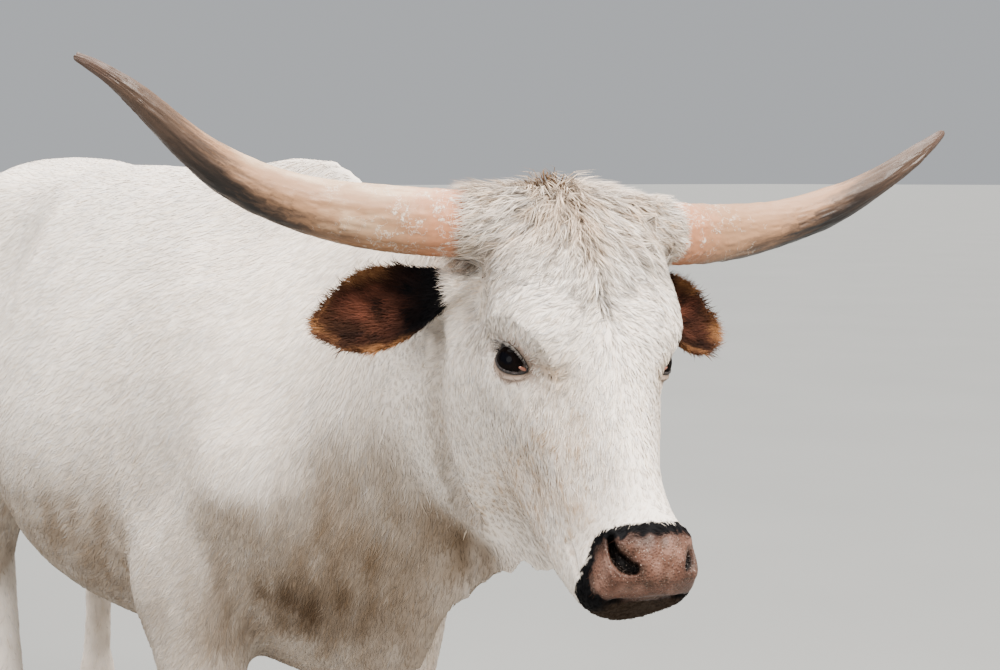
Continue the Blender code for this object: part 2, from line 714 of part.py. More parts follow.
def poll_locks(made):
    """Locks of long hair over the poll, combed out to both sides from a middle parting and down the face."""
    skin = bmesh.new()
    skin.from_mesh(made.data)
    tree = BVHTree.FromBMesh(skin)
    random = np.random.default_rng(LOCK_SEED)
    locks = []
    for row in range(POLL_ROWS):
        height = POLL_ROW_TOP - POLL_ROW_STEP * row
        reach_end = POLL_REACH - POLL_REACH_TAPER * row
        for column in range(POLL_COLUMNS):
            reach = PARTING_HALF_WIDTH + POLL_COLUMN_STEP * (column + 0.5 * (row % 2))
            if reach > reach_end:
                continue
            for side in (1, -1):
                jitter = random.uniform(-1, 1, 4)
                offset = Vector((jitter[0], 0.0, jitter[1])) * POLL_ROOT_JITTER
                root = Vector((side * reach, FOREHEAD_DEPTH, height)) + offset
                place, normal, _, _ = tree.find_nearest(root)
                direction = combing(side, reach, height)
                direction = (direction - normal * direction.dot(normal)).normalized()
                length = POLL_LOCK_LENGTH * (1 + POLL_SIZE_JITTER * jitter[2])
                width = POLL_LOCK_WIDTH * (1 + POLL_SIZE_JITTER * jitter[3])
                locks.append(poll_lock(tree, place, direction, length, width))
    skin.free()
    return locks


def switch_locks(end):
    """Locks that hang from the tail's end."""
    random = np.random.default_rng(LOCK_SEED + 1)
    locks = []
    for index in range(SWITCH_LOCKS):
        angle = GOLDEN_ANGLE * index
        high = SWITCH_ROOTS * (1 - index / SWITCH_LOCKS)
        out = Vector((math.cos(angle), math.sin(angle), 0))
        root = Vector(end) + Vector((0.30 * high, 0, high)) + out * 0.004
        length = SWITCH_LENGTH * random.uniform(0.78, 1.0) - 0.3 * high
        spread = random.uniform(*SWITCH_SPREAD_RANGE)
        centres = [
            root + out * (spread * away) + Vector((-0.06 * length * share, 0, -length * share))
            for share, away in zip(LOCK_STATIONS, SWITCH_SPREADS)
        ]
        rings = lock_rings(centres, [out] * len(centres), (0, 0, -1), SWITCH_LOCK_WIDTH, SWITCH_LOCK_DEPTH)
        locks.append(shell(rings))
    return locks


def body_shells():
    """Trunk, neck and the four legs as closed shells in the world frame."""
    shells = [shell(loft(TRUNK))]
    for name, stride in STRIDES.items():
        fore = name.startswith("foreleg")
        pivot = FORE_SWING_HEIGHT if fore else HIND_SWING_HEIGHT
        rings = swung(loft(FORELEG if fore else HINDLEG), pivot, stride)
        shells.append(shell(mirrored(rings) if name.endswith("right") else rings))
        shells.extend(dewclaws(name, stride))
    shells.append(shell(tail_rings(before=TAIL_ROOT_DEPTH)[:2]))
    return shells


def foot_place(name, stride):
    """The middle of the coronet's front, at the leg's side of the body."""
    section = (FORELEG if name.startswith("foreleg") else HINDLEG)[-2]
    side = -1 if name.endswith("right") else 1
    return side * section.side, section.start[0] + stride, section.end[0] + stride


def dewclaws(name, stride):
    """The two small claws behind the fetlock."""
    section = (FORELEG if name.startswith("foreleg") else HINDLEG)[-4]
    height = section.end[1] - DEWCLAW_DROP
    pivot = FORE_SWING_HEIGHT if name.startswith("foreleg") else HIND_SWING_HEIGHT
    share = (pivot - height) / (pivot - CORONET_TOE_HEIGHT)
    side = -1 if name.endswith("right") else 1
    return [
        ball(DEWCLAW_RADIUS, (side * section.side + offset, section.end[0] + stride * share + 0.004, height),
             DEWCLAW_SHAPE)
        for offset in (-DEWCLAW_OFFSET, DEWCLAW_OFFSET)
    ]


def tail_rings(before=0.0):
    """The tail's rings, with the first one's centre moved into the rump by before."""
    line = TAIL_LINE
    start = Vector(line[0]) - tail_direction() * before
    rows = smooth_rows([(*p, r) for p, r in zip(line, TAIL_RADII)], 4)
    if before:
        ends = [start, Vector(line[0]) + tail_direction() * 0.01]
        return tube_rings(ends, [TAIL_RADII[0]] * 2, TAIL_SIDES, tail_direction())
    rows[:, :3] += np.array(tail_direction()) * GAP
    return tube_rings(rows[:, :3], rows[:, 3], TAIL_SIDES, tail_direction())


def tail_direction():
    """The way the tail leaves the rump."""
    return (Vector(TAIL_LINE[1]) - Vector(TAIL_LINE[0])).normalized()


def coronet_matrix(name, stride):
    """The plane where the leg's hair ends and the claws begin."""
    x, front, back = foot_place(name, stride)
    slope = math.atan2(CORONET_TOE_HEIGHT - CORONET_HEEL_HEIGHT, back - front)
    centre = (x, (front + back) / 2, (CORONET_TOE_HEIGHT + CORONET_HEEL_HEIGHT) / 2)
    return Matrix.Translation(centre) @ Matrix.Rotation(-slope, 4, "X")


def body_cuts():
    """The slabs that part neck, legs, feet and tail from the trunk."""
    at, size, tilt = NECK_BASE_CUT
    turn = Matrix.Rotation(math.radians(90) + tilt, 4, "X")
    cuts = [slab(*size, Matrix.Translation(at) @ turn)]
    for name, stride in STRIDES.items():
        at, size, tilt = LEG_CUTS[name.split("_")[0]]
        side = -1 if name.endswith("right") else 1
        place = Matrix.Translation((side * at[0], at[1], at[2])) @ Matrix.Rotation(-side * tilt, 4, "Y")
        cuts.append(slab(*size, place))
        cuts.append(slab(0.08, 0.10, coronet_matrix(name, stride)))
    cuts.append(pocket(TAIL_LINE[0], tail_direction(), TAIL_RADII[0] + POCKET_SPARE))
    cuts.append(head_cut())
    return cuts


def head_cut():
    """The slab between the head and the neck."""
    place = Matrix.Translation(HEAD_CUT_AT) @ Matrix.Rotation(math.radians(90) + HEAD_CUT_TILT, 4, "X")
    return slab(*HEAD_CUT_SIZE, head_matrix() @ place)


def build_body():
    """Trunk, neck and legs, fused and then parted."""
    whole = fused("body", body_shells(), BODY_VOXEL)
    relax(whole.data, BODY_SMOOTHING[0])
    swell(whole.data, BODY_SWELLS)
    relax(whole.data, BODY_SMOOTHING[1])
    thin(whole, BODY_TRIANGLES)
    combined(whole, body_cuts(), "DIFFERENCE")
    for part in loose_parts(whole):
        centre = sum((v.co for v in part.verts), Vector()) / len(part.verts)
        name = body_node(centre, part)
        if name is None or bpy.data.objects.get(name):
            part.free()
            continue
        made = mesh_object(name, [part])
        made.data.shade_smooth()
    bpy.data.objects.remove(whole)


def body_node(centre, part):
    """The name of the part of the body whose middle is here, or None for what a cut leaves over."""
    low = min(v.co.z for v in part.verts)
    high = max(v.co.z for v in part.verts)
    if high < FOOT_OFFCUT_HEIGHT:
        return None
    side = "right" if centre.x < 0 else "left"
    if high < LEG_CUTS["hindleg"][0][2] + LEG_TOP_SPARE and low < LEG_BOTTOM_HEIGHT:
        return f"foreleg_{side}" if centre.y < 0 else f"hindleg_{side}"
    if centre.y < NECK_SPAN[1] and low > NECK_BOTTOM_HEIGHT:
        return "neck" if centre.y > NECK_SPAN[0] else None
    return "torso" if centre.y < TORSO_END else None


def nostril_cutters():
    """The two nostrils' slits, as closed shells in the head's frame."""
    cutters = []
    inward = NOSTRIL_INWARD * NOSTRIL_DEPTH
    rows = smooth_rows([(*p, r) for p, r in zip(NOSTRIL_LINE, NOSTRIL_RADII)], 3)
    for side in (1, -1):
        flip = Vector((side, 1, 1))
        rings = []
        for depth, wide, long in NOSTRIL_LAYERS:
            points = rows[:, :3] + np.array(inward) * depth
            middle = points.mean(0)
            points = middle + (points - middle) * long
            along = np.gradient(points, axis=0)
            along /= np.linalg.norm(along, axis=1)[:, None]
            across = np.cross(along, np.array(NOSTRIL_INWARD))
            edge = across * (rows[:, 3] * wide)[:, None]
            ring = np.vstack([points + edge, (points - edge)[::-1]])
            rings.append(ring * np.array(flip))
        cutters.append(shell(rings))
    return cutters


def mouth_cutter(made):
    """A slit that follows the surface along the mouth, from one corner to the other."""
    skin = bmesh.new()
    skin.from_mesh(made.data)
    tree = BVHTree.FromBMesh(skin)
    half = smooth_rows(MOUTH_LINE, 3)
    line = np.vstack([half[:0:-1] * (-1, 1, 1), half])
    line = np.array([tree.find_nearest(Vector(point))[0] for point in line])
    skin.free()
    ends = np.minimum(np.arange(len(line)), np.arange(len(line))[::-1])
    radii = MOUTH_RADIUS * np.minimum(1.0, 0.3 + 0.35 * ends)
    return shell(tube_rings(line, radii, MOUTH_SIDES))


def eye_matrix(side):
    """The frame of one eye: z along its axis, x along the slit between the lids."""
    flip = Vector((side, 1, 1))
    axis = EYE_AXIS * flip
    slit = Vector((0, -math.cos(LID_SLANT), -math.sin(LID_SLANT)))
    return Matrix.Translation(EYE_AT * flip) @ facing(axis, slit)


def eye_cutters():
    """The eyes' sockets and the slits between the lids."""
    cutters = []
    for side in (1, -1):
        place = eye_matrix(side)
        cutters.append(ball(EYE_RADIUS + GAP, (0, 0, 0), turn=place, segments=16, rings=10))
        opening = place @ Matrix.Translation((0, 0, EYE_RADIUS + EYE_OPENING_RISE))
        cutters.append(ball(1.0, (0, 0, 0), scale=EYE_OPENING, turn=opening, segments=16, rings=8))
    return cutters


def head_shells():
    """Skull, lids, horn bosses, ear roots and a stub of neck, in the head's frame."""
    to_head = head_matrix().inverted()
    shells = [shell(loft(HEAD))]
    neck = [s for s in TRUNK if s.start[0] < -0.90]
    shells.append(shell(placed(loft(neck), to_head)))
    direction = horn_direction()
    ear = ear_frame().to_3x3() @ Vector((1, 0, 0))
    for side in (1, -1):
        flip = np.array((side, 1, 1))
        root = Vector(HORN_LINE[0])
        boss = tube_rings(
            [root - direction * HORN_BOSS_DEPTH, root, root + direction * STUB_LENGTH],
            [HORN_BOSS_RADIUS, HORN_BOSS_RADIUS, HORN_BOSS_RADIUS * 0.96],
            HORN_SIDES,
            direction,
        )
        shells.append(shell([ring * flip for ring in boss]))
        stub = tube_rings(
            [EAR_ROOT - ear * 0.060, EAR_ROOT, EAR_ROOT + ear * STUB_LENGTH],
            [EAR_ROOT_RADIUS * 1.35, EAR_ROOT_RADIUS * 1.05, EAR_ROOT_RADIUS],
            HORN_SIDES,
            ear,
        )
        shells.append(shell([ring * flip for ring in stub]))
        shells.append(ball(EYE_RADIUS + LID_THICKNESS, EYE_AT * Vector(flip)))
    return shells


def head_cutters():
    """What is cut from the head, in the head's frame."""
    to_head = head_matrix().inverted()
    cutters = eye_cutters() + nostril_cutters()
    neck = head_cut()
    neck.transform(to_head)
    cutters.append(neck)
    for side in (1, -1):
        flip = Vector((side, 1, 1))
        cutters.append(shell([ring * np.array(flip) for ring in horn_rings(grow=GAP)]))
        cutters.append(pocket(EAR_ROOT * flip, EAR_AXIS * flip, EAR_ROOT_RADIUS + POCKET_SPARE))
    return cutters


def build_head():
    """The head with its locks, lids, nostrils and mouth."""
    made = fused("head", head_shells(), HEAD_VOXEL)
    relax(made.data, HEAD_SMOOTHING)
    swell(made.data, HEAD_SWELLS)
    thin(made, HEAD_TRIANGLES)
    combined(made, poll_locks(made), "UNION", "MANIFOLD")
    combined(made, [*head_cutters(), mouth_cutter(made)], "DIFFERENCE", "MANIFOLD")
    replace_mesh(made, loose_parts(made)[0])
    made.data.transform(head_matrix())
    made.data.shade_smooth()


def build_horns_and_ears():
    """Both horns and both ears, placed on the head."""
    for name, rings, look in (("horn", horn_rings(), HORN), ("ear", ear_rings(), EAR_HIDE)):
        for side, flip in (("left", 1), ("right", -1)):
            turned = [ring * np.array((flip, 1, 1)) for ring in rings]
            made = mesh_object(f"{name}_{side}", [shell(placed(turned, head_matrix()))], look)
            made.data.shade_smooth()


def build_eyes():
    """The eyeballs."""
    for side, flip in (("left", 1), ("right", -1)):
        eye = ball(EYE_RADIUS, (0, 0, 0), turn=head_matrix() @ eye_matrix(flip))
        mesh_object(f"eye_{side}", [eye], EYE).data.shade_smooth()


def claw_rings(name, stride, offset):
    """One claw of a hoof, from its flat sole up to the coronet."""
    x, front, back = foot_place(name, stride)
    plane = coronet_matrix(name, stride)
    up = plane.to_3x3() @ Vector((0, 0, 1))
    rings = []
    heel = back - CLAW_HEEL_INSET
    for share in (0.0, 0.15, 1.0):
        toe = front - HOOF_TOE_SLOPE * (1 - share)
        ring = []
        for k in range(CLAW_SIDES):
            angle = 2 * math.pi * k / CLAW_SIDES
            along = (1 - math.cos(angle)) / 2
            spread = (0.93 + 0.07 * share) * (0.80 + 0.25 * along)
            wide = CLAW_HALF_WIDTH * spread * abs(math.sin(angle)) ** 0.7
            wide = math.copysign(min(wide, CLAW_OFFSET - CLAW_CLEARANCE), math.sin(angle))
            y = toe + (heel - toe) * along
            base = plane.translation
            top = base.z - (up.x * (x - base.x) + up.y * (y - base.y)) / up.z - 2 * GAP
            ring.append((x + offset + wide, y, top * share))
        rings.append(np.array(ring))
    return rings


def build_claws():
    """Two claws for each foot."""
    for name, stride in STRIDES.items():
        limb, side = name.split("_")
        outward = -1 if side == "right" else 1
        for place, offset in (("outer", CLAW_OFFSET), ("inner", -CLAW_OFFSET)):
            rings = claw_rings(name, stride, outward * offset)
            claw = mesh_object(f"claw_{limb[:4]}_{side}_{place}", [shell(rings)], HOOF)
            claw.data.shade_smooth()


def build_tail():
    """The tail with its switch."""
    made = mesh_object("tail", [shell(tail_rings())])
    combined(made, switch_locks(TAIL_LINE[-1]), "UNION", "MANIFOLD")
    replace_mesh(made, loose_parts(made)[0])
    made.data.shade_smooth()


def centre_on_origin():
    """Moves the whole animal so that the middle of its footprint box is over the origin."""
    made = [o for o in bpy.context.scene.collection.objects if o.type == "MESH"]
    points = np.vstack([points_of(o.data) for o in made])
    middle = (points.min(0) + points.max(0)) / 2
    for each in made:
        each.data.transform(Matrix.Translation((-middle[0], -middle[1], 0.0)))
    print("moved by", (-middle[:2]).round(4))


def main():
    for old in list(bpy.data.objects):
        bpy.data.objects.remove(old)
    build_body()
    build_head()
    build_horns_and_ears()
    build_eyes()
    build_claws()
    build_tail()
    centre_on_origin()


main()
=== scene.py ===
import logging
import math
from contextlib import contextmanager
from dataclasses import dataclass, field, replace
from enum import Enum
from functools import lru_cache
from typing import Callable, Iterator, Optional, Sequence

import bmesh
import bpy
import numpy as np
from mathutils import Matrix, Vector
from mathutils.bvhtree import BVHTree
from mathutils.kdtree import KDTree


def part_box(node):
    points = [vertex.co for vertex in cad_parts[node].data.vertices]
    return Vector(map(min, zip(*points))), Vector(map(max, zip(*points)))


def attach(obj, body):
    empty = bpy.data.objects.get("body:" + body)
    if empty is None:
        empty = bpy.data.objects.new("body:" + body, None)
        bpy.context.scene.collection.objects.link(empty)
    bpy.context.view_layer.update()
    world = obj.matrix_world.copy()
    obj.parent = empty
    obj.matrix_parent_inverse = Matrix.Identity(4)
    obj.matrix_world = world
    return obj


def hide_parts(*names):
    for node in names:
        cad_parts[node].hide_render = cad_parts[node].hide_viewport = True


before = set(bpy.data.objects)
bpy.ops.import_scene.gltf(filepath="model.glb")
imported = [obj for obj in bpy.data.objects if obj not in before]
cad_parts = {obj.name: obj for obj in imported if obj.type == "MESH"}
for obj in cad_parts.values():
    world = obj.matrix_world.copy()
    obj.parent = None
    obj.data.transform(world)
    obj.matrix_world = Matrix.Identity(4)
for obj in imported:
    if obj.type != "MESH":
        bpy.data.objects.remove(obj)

LOG = logging.getLogger("longhorn")
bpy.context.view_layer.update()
BODY = "root"
SIDES = {"left": 1, "right": -1}
Array = np.ndarray
Mesh, Piece, Material = bpy.types.Mesh, bpy.types.Object, bpy.types.Material
Density = Callable[[Array, Array], Array]

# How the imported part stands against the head's own drawing frame.
SHIFT = Vector((-0.0372, 0.3114, 0.0))
HEAD_AT = Vector((0.028, -1.278, 1.351)) + SHIFT
HEAD_MATRIX = (
    Matrix.Translation(HEAD_AT)
    @ Matrix.Rotation(math.radians(-10.0), 4, "Z")
    @ Matrix.Rotation(math.radians(3.2), 4, "Y")
    @ Matrix.Rotation(math.radians(-32.5), 4, "X")
)
TO_HEAD = HEAD_MATRIX.inverted()

EYE_RADIUS = 0.0220
EYE_CENTRE = np.array((0.0885, 0.0585, -0.1975))
# The lids are fitted to an axis that is longer than one by 0.07%.
EYE_AXIS = np.array((0.86, -0.50, -0.05)) / math.sqrt(0.9908)
EYE_SLANT = math.radians(50)
PARTING = -0.019
WHORL_HEIGHT = -0.168
EAR_ROOT = np.array((0.132, 0.100, -0.079))
EAR_AXIS = np.array((0.90, 0.43, 0.02)) / math.hypot(0.90, 0.43, 0.02)
EAR_OPENS = np.array((0.36, -0.88, -0.12))
EAR_LENGTH = 0.163
EAR_HALF_WIDTH = 0.052
EAR_DROOP = 0.022
EAR_DROOP_CURVE = 0.85
HEAD_MIDDLE = (0.0, 0.05, -0.22)
DARKEST, LIGHTEST = 0.002, 0.93
DEWCLAW_SHAPE = np.array((1.0, 1.0, 1.45))
CHUNK = 20000
UNWRAP = "OFBake"
TAIL_LINE = (
    (0.000, 0.720, 1.340), (0.000, 0.738, 1.326), (0.000, 0.780, 1.284), (-0.008, 0.796, 1.190),
    (-0.030, 0.796, 1.000), (-0.060, 0.792, 0.800), (-0.090, 0.788, 0.610),
)
TAIL_RADII = (0.034, 0.034, 0.031, 0.025, 0.021, 0.017, 0.013)
NOSTRIL_LINE = (
    (0.0475, 0.0110, -0.4270), (0.0490, 0.0090, -0.4390), (0.0468, 0.0070, -0.4500),
    (0.0415, 0.0035, -0.4590), (0.0350, 0.0005, -0.4640),
)
UPPER_FOLD = ((0.1225, 0.044, -0.171), (0.118, 0.026, -0.173), (0.111, 0.011, -0.180), (0.103, 0.005, -0.194))
LOWER_FOLD = ((0.1190, 0.060, -0.213), (0.106, 0.063, -0.226), (0.094, 0.055, -0.235))
CORNER_FOLD = (
    (0.090, 0.026, -0.229), (0.077, 0.0225, -0.236), (0.0645, 0.014, -0.244), (0.057, 0.004, -0.244),
)
CORNER_FOLD_ABOVE = ((0.085, 0.013, -0.223), (0.070, 0.0105, -0.2336), (0.062, 0.0025, -0.2335))
CORNER_FOLD_BELOW = ((0.083, 0.033, -0.244), (0.071, 0.029, -0.252), (0.062, 0.020, -0.258))
NASAL_RIDGE = ((0.050, -0.012, -0.310), (0.046, -0.010, -0.360), (0.050, -0.008, -0.405))
NOSE_FURROW = ((0.000, -0.018, -0.425), (0.000, -0.012, -0.455), (0.000, 0.004, -0.482))
JAW_GROOVE = (
    (0.146, 0.146, -0.112), (0.142, 0.152, -0.133), (0.139, 0.182, -0.163), (0.126, 0.225, -0.196),
    (0.111, 0.258, -0.222), (0.093, 0.290, -0.248), (0.071, 0.314, -0.275), (0.058, 0.318, -0.290),
)
MOUTH_LINE = (
    (0.000, 0.034, -0.492), (0.030, 0.040, -0.488), (0.050, 0.054, -0.470), (0.058, 0.072, -0.442),
    (0.058, 0.086, -0.406),
)


class Slot(str, Enum):
    """The record's material slots."""

    HIDE = "white_hide"
    EAR = "ear_hide"
    HORN = "horn"
    EYE = "eye"
    HOOF = "hoof"


def ease(value: Array, low: float, high: float) -> Array:
    """A smooth step from 0 at low to 1 at high."""
    share = np.clip((value - low) / (high - low), 0.0, 1.0)
    return share * share * (3.0 - 2.0 * share)


def unit(vectors: Array) -> Array:
    """The vectors at length one."""
    return vectors / np.maximum(np.linalg.norm(vectors, axis=-1, keepdims=True), 1e-9)


def moved(points: Array, matrix: Matrix) -> Array:
    """The points after the matrix."""
    m = np.array(matrix)
    return points @ m[:3, :3].T + m[:3, 3]


def turned(vectors: Array, matrix: Matrix) -> Array:
    """The directions after the matrix's turn."""
    return vectors @ np.array(matrix.to_3x3()).T


def folded(h: Array) -> Array:
    """Head-frame points with the right half laid over the left."""
    return np.column_stack([np.abs(h[:, 0]), h[:, 1:]])


def mirrored(side: Array) -> Array:
    """Factors that turn a left-hand direction to each point's own side."""
    return np.column_stack([np.where(side < 0, -1.0, 1.0), np.ones((len(side), 2))])


def close_to(points: Array, centre: Sequence[float], full: float, none: float) -> Array:
    """1 closer to the centre than full, easing to 0 at none."""
    return 1 - ease(np.linalg.norm(points - np.array(centre), axis=1), full, none)


def by_middle(points: Array, full: float, none: float) -> Array:
    """1 closer to the body's middle plane than full, easing to 0 at none."""
    return 1 - ease(np.abs(points[:, 0] - SHIFT.x), full, none)


def bell(value: Array, width: float) -> Array:
    """1 where the value is 0, falling away over the width."""
    return np.exp(-((value / width) ** 2))


def blob(points: Array, centre: Sequence[float], size: float | tuple) -> Array:
    """A soft spot: 1 at its centre, falling away over its size."""
    return np.exp(-(((points - np.array(centre)) / size) ** 2).sum(1))


def points_of(mesh: Mesh) -> Array:
    """The mesh's vertices."""
    points = np.empty(len(mesh.vertices) * 3, np.float32)
    mesh.vertices.foreach_get("co", points)
    return points.reshape(-1, 3).astype(float)


def normals_of(mesh: Mesh) -> Array:
    """The mesh's vertex normals."""
    normals = np.empty(len(mesh.vertices) * 3, np.float32)
    mesh.vertex_normals.foreach_get("vector", normals)
    return normals.reshape(-1, 3).astype(float)


def put_points(mesh: Mesh, points: Array) -> None:
    """Moves the mesh's vertices to the points."""
    mesh.vertices.foreach_set("co", points.astype(np.float32).ravel())
    mesh.update()


def curve_through(points: Sequence[Sequence[float]], steps: int) -> Array:
    """Points on a smooth curve through the given ones.

    Args:
        points: the points that the curve passes through.
        steps: how many stretches lie between each two.

    Returns:
        The curve's points, one row each.
    """
    rows = np.array(points, float)
    ends = np.vstack([2 * rows[0] - rows[1], rows, 2 * rows[-1] - rows[-2]])
    made = []
    for p0, p1, p2, p3 in zip(ends, ends[1:], ends[2:], ends[3:]):
        for t in np.arange(steps) / steps:
            made.append(
                p1 + 0.5 * t * (p2 - p0) + t * t * (p0 - 2.5 * p1 + 2 * p2 - 0.5 * p3)
                + t**3 * (1.5 * (p1 - p2) + 0.5 * (p3 - p0))
            )
    made.append(rows[-1])
    return np.array(made)


def distance_to_line(points: Array, line: Array) -> tuple[Array, Array]:
    """How far each point is from a line of close points, and which of them is nearest."""
    away = np.full(len(points), np.inf)
    which = np.zeros(len(points), int)
    for start in range(0, len(points), CHUNK):
        part = slice(start, start + CHUNK)
        gaps = ((points[part, None, :] - line[None]) ** 2).sum(2)
        which[part] = gaps.argmin(1)
        away[part] = np.sqrt(gaps.min(1))
    return away, which


def value_noise(points: Array, size: float, seed: int) -> Array:
    """Smooth noise between -1 and 1, with features of about the given size in metres."""
    scaled = points / size
    cell = np.floor(scaled).astype(np.int64)
    part = scaled - cell
    part = part * part * (3 - 2 * part)
    total = np.zeros(len(points))
    for corner in np.ndindex(2, 2, 2):
        at = cell + corner
        mixed = (at[:, 0] * 73856093) ^ (at[:, 1] * 19349663) ^ (at[:, 2] * 83492791) ^ (seed * 2654435761)
        mixed = (mixed ^ (mixed >> 13)) * 1274126177 & 0xFFFFFFFF
        weight = np.prod(np.where(np.array(corner) == 1, part, 1 - part), axis=1)
        total += weight * ((mixed >> 8 & 0xFFFF) / 32767.5 - 1.0)
    return total


def only_nothing() -> None:
    """Deselects everything."""
    bpy.ops.object.select_all(action="DESELECT")


def only(*objects: Piece) -> None:
    """Selects these objects alone and makes the first one active."""
    only_nothing()
    for each in objects:
        each.select_set(True)
    bpy.context.view_layer.objects.active = objects[0]


def apply_all(piece: Piece) -> None:
    """Applies the piece's modifiers."""
    only(piece)
    for modifier in list(piece.modifiers):
        bpy.ops.object.modifier_apply(modifier=modifier.name)


@contextmanager
def editing(mesh: Mesh) -> Iterator[bmesh.types.BMesh]:
    """The mesh open for editing, and written back afterwards."""
    work = bmesh.new()
    work.from_mesh(mesh)
    yield work
    work.to_mesh(mesh)
    work.free()


def added(name: str, data: bpy.types.ID) -> Piece:
    """A new object in the scene, made of the data."""
    made = bpy.data.objects.new(name, data)
    bpy.context.scene.collection.objects.link(made)
    return made


def merged_copy(node: str, name: str) -> Piece:
    """A copy of a CAD node with its loose triangles merged."""
    made = added(name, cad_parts[node].data.copy())
    made.data.materials.clear()
    with editing(made.data) as work:
        bmesh.ops.remove_doubles(work, verts=work.verts, dist=1e-6)
    return made


def mesh_piece(name: str, points: Array, faces: Sequence[Sequence[int]]) -> Piece:
    """A new object from points and faces."""
    mesh = bpy.data.meshes.new(name)
    mesh.from_pydata(points.tolist(), [], [list(face) for face in faces])
    mesh.update()
    return added(name, mesh)


def face_outwards(piece: Piece) -> None:
    """Turns every closed shell of the piece to face outwards."""
    with editing(piece.data) as work:
        bmesh.ops.recalc_face_normals(work, faces=work.faces)


def sphere(name: str, radius: float, segments: int, rings: int, at: Sequence[float] = (0, 0, 0)) -> Piece:
    """A round ball."""
    only_nothing()
    bpy.ops.mesh.primitive_uv_sphere_add(segments=segments, ring_count=rings, radius=radius, location=at)
    bpy.ops.object.transform_apply(location=True)
    made = bpy.context.active_object
    made.name = name
    return made


def blade_faces(start: int, rings: int) -> list[tuple[int, ...]]:
    """The faces of a closed three-sided blade whose first ring's points begin at start."""
    faces = []
    for i in range(rings - 1):
        for k in range(3):
            a, b = start + 3 * i + k, start + 3 * i + (k + 1) % 3
            faces.append((a, b, b + 3, a + 3))
    last = start + 3 * (rings - 1)
    return faces + [(start, start + 2, start + 1), (last, last + 1, last + 2)]


def keep_values(mesh: Mesh, name: str, values: Array) -> None:
    """Keeps a number, a vector or a colour on each vertex."""
    kind, title = {1: ("FLOAT", "value"), 3: ("FLOAT_VECTOR", "vector"), 4: ("FLOAT_COLOR", "color")}[
        values.size // len(values)
    ]
    mesh.attributes.new(name, kind, "POINT").data.foreach_set(title, values.astype(np.float32).ravel())


def tube(name: str, line: Array, radii: Array, sides: int, closed: bool = False) -> Piece:
    """A round tube along a line.

    Args:
        name: the piece's name.
        line: the points along its middle.
        radii: the radius at each point.
        sides: how many sides it has.
        closed: whether the end joins the start.

    Returns:
        The tube as an object.
    """
    count = len(line)
    if closed:
        tangents = unit(np.roll(line, -1, 0) - np.roll(line, 1, 0))
    else:
        tangents = unit(np.gradient(line, axis=0))
    across = np.cross(tangents[0], (0.0, 0.0, 1.0))
    if np.linalg.norm(across) < 1e-3:
        across = np.cross(tangents[0], (1.0, 0.0, 0.0))
    rings = []
    for point, tangent, radius in zip(line, tangents, radii):
        across = unit(across - tangent * (across @ tangent))
        up = np.cross(tangent, across)
        angle = 2 * math.pi * np.arange(sides)[:, None] / sides
        rings.append(point + radius * (np.cos(angle) * across + np.sin(angle) * up))
    faces = []
    for i in range(count if closed else count - 1):
        for k in range(sides):
            a, b = i * sides + k, i * sides + (k + 1) % sides
            c, d = (i + 1) % count * sides + (k + 1) % sides, (i + 1) % count * sides + k
            faces.append((a, b, c, d))
    if not closed:
        faces += [tuple(range(sides))[::-1], tuple(range((count - 1) * sides, count * sides))]
    return mesh_piece(name, np.vstack(rings), faces)


class Wire:
    """A shader socket that Python's operators work on."""

    def __init__(self, shader: "Shader", socket: bpy.types.NodeSocket) -> None:
        """Keeps the socket and the shader that it is in."""
        self.shader = shader
        self.socket = socket

    def _math(self, operation: str, *values: object) -> "Wire":
        """A Math node on the values."""
        return self.shader.node("ShaderNodeMath", {"operation": operation}, dict(enumerate(values)))

    def __add__(self, other: object) -> "Wire":
        """self + other"""
        return self._math("ADD", self, other)

    __radd__ = __add__

    def __mul__(self, other: object) -> "Wire":
        """self * other"""
        return self._math("MULTIPLY", self, other)

    __rmul__ = __mul__

    def __sub__(self, other: object) -> "Wire":
        """self - other"""
        return self._math("SUBTRACT", self, other)

    def __rsub__(self, other: object) -> "Wire":
        """other - self"""
        return self._math("SUBTRACT", other, self)

    def magnitude(self) -> "Wire":
        """The value without its sign."""
        return self._math("ABSOLUTE", self)

    def clamp(self) -> "Wire":
        """The value kept between 0 and 1."""
        return self.shader.node("ShaderNodeClamp", {}, {"Value": self})


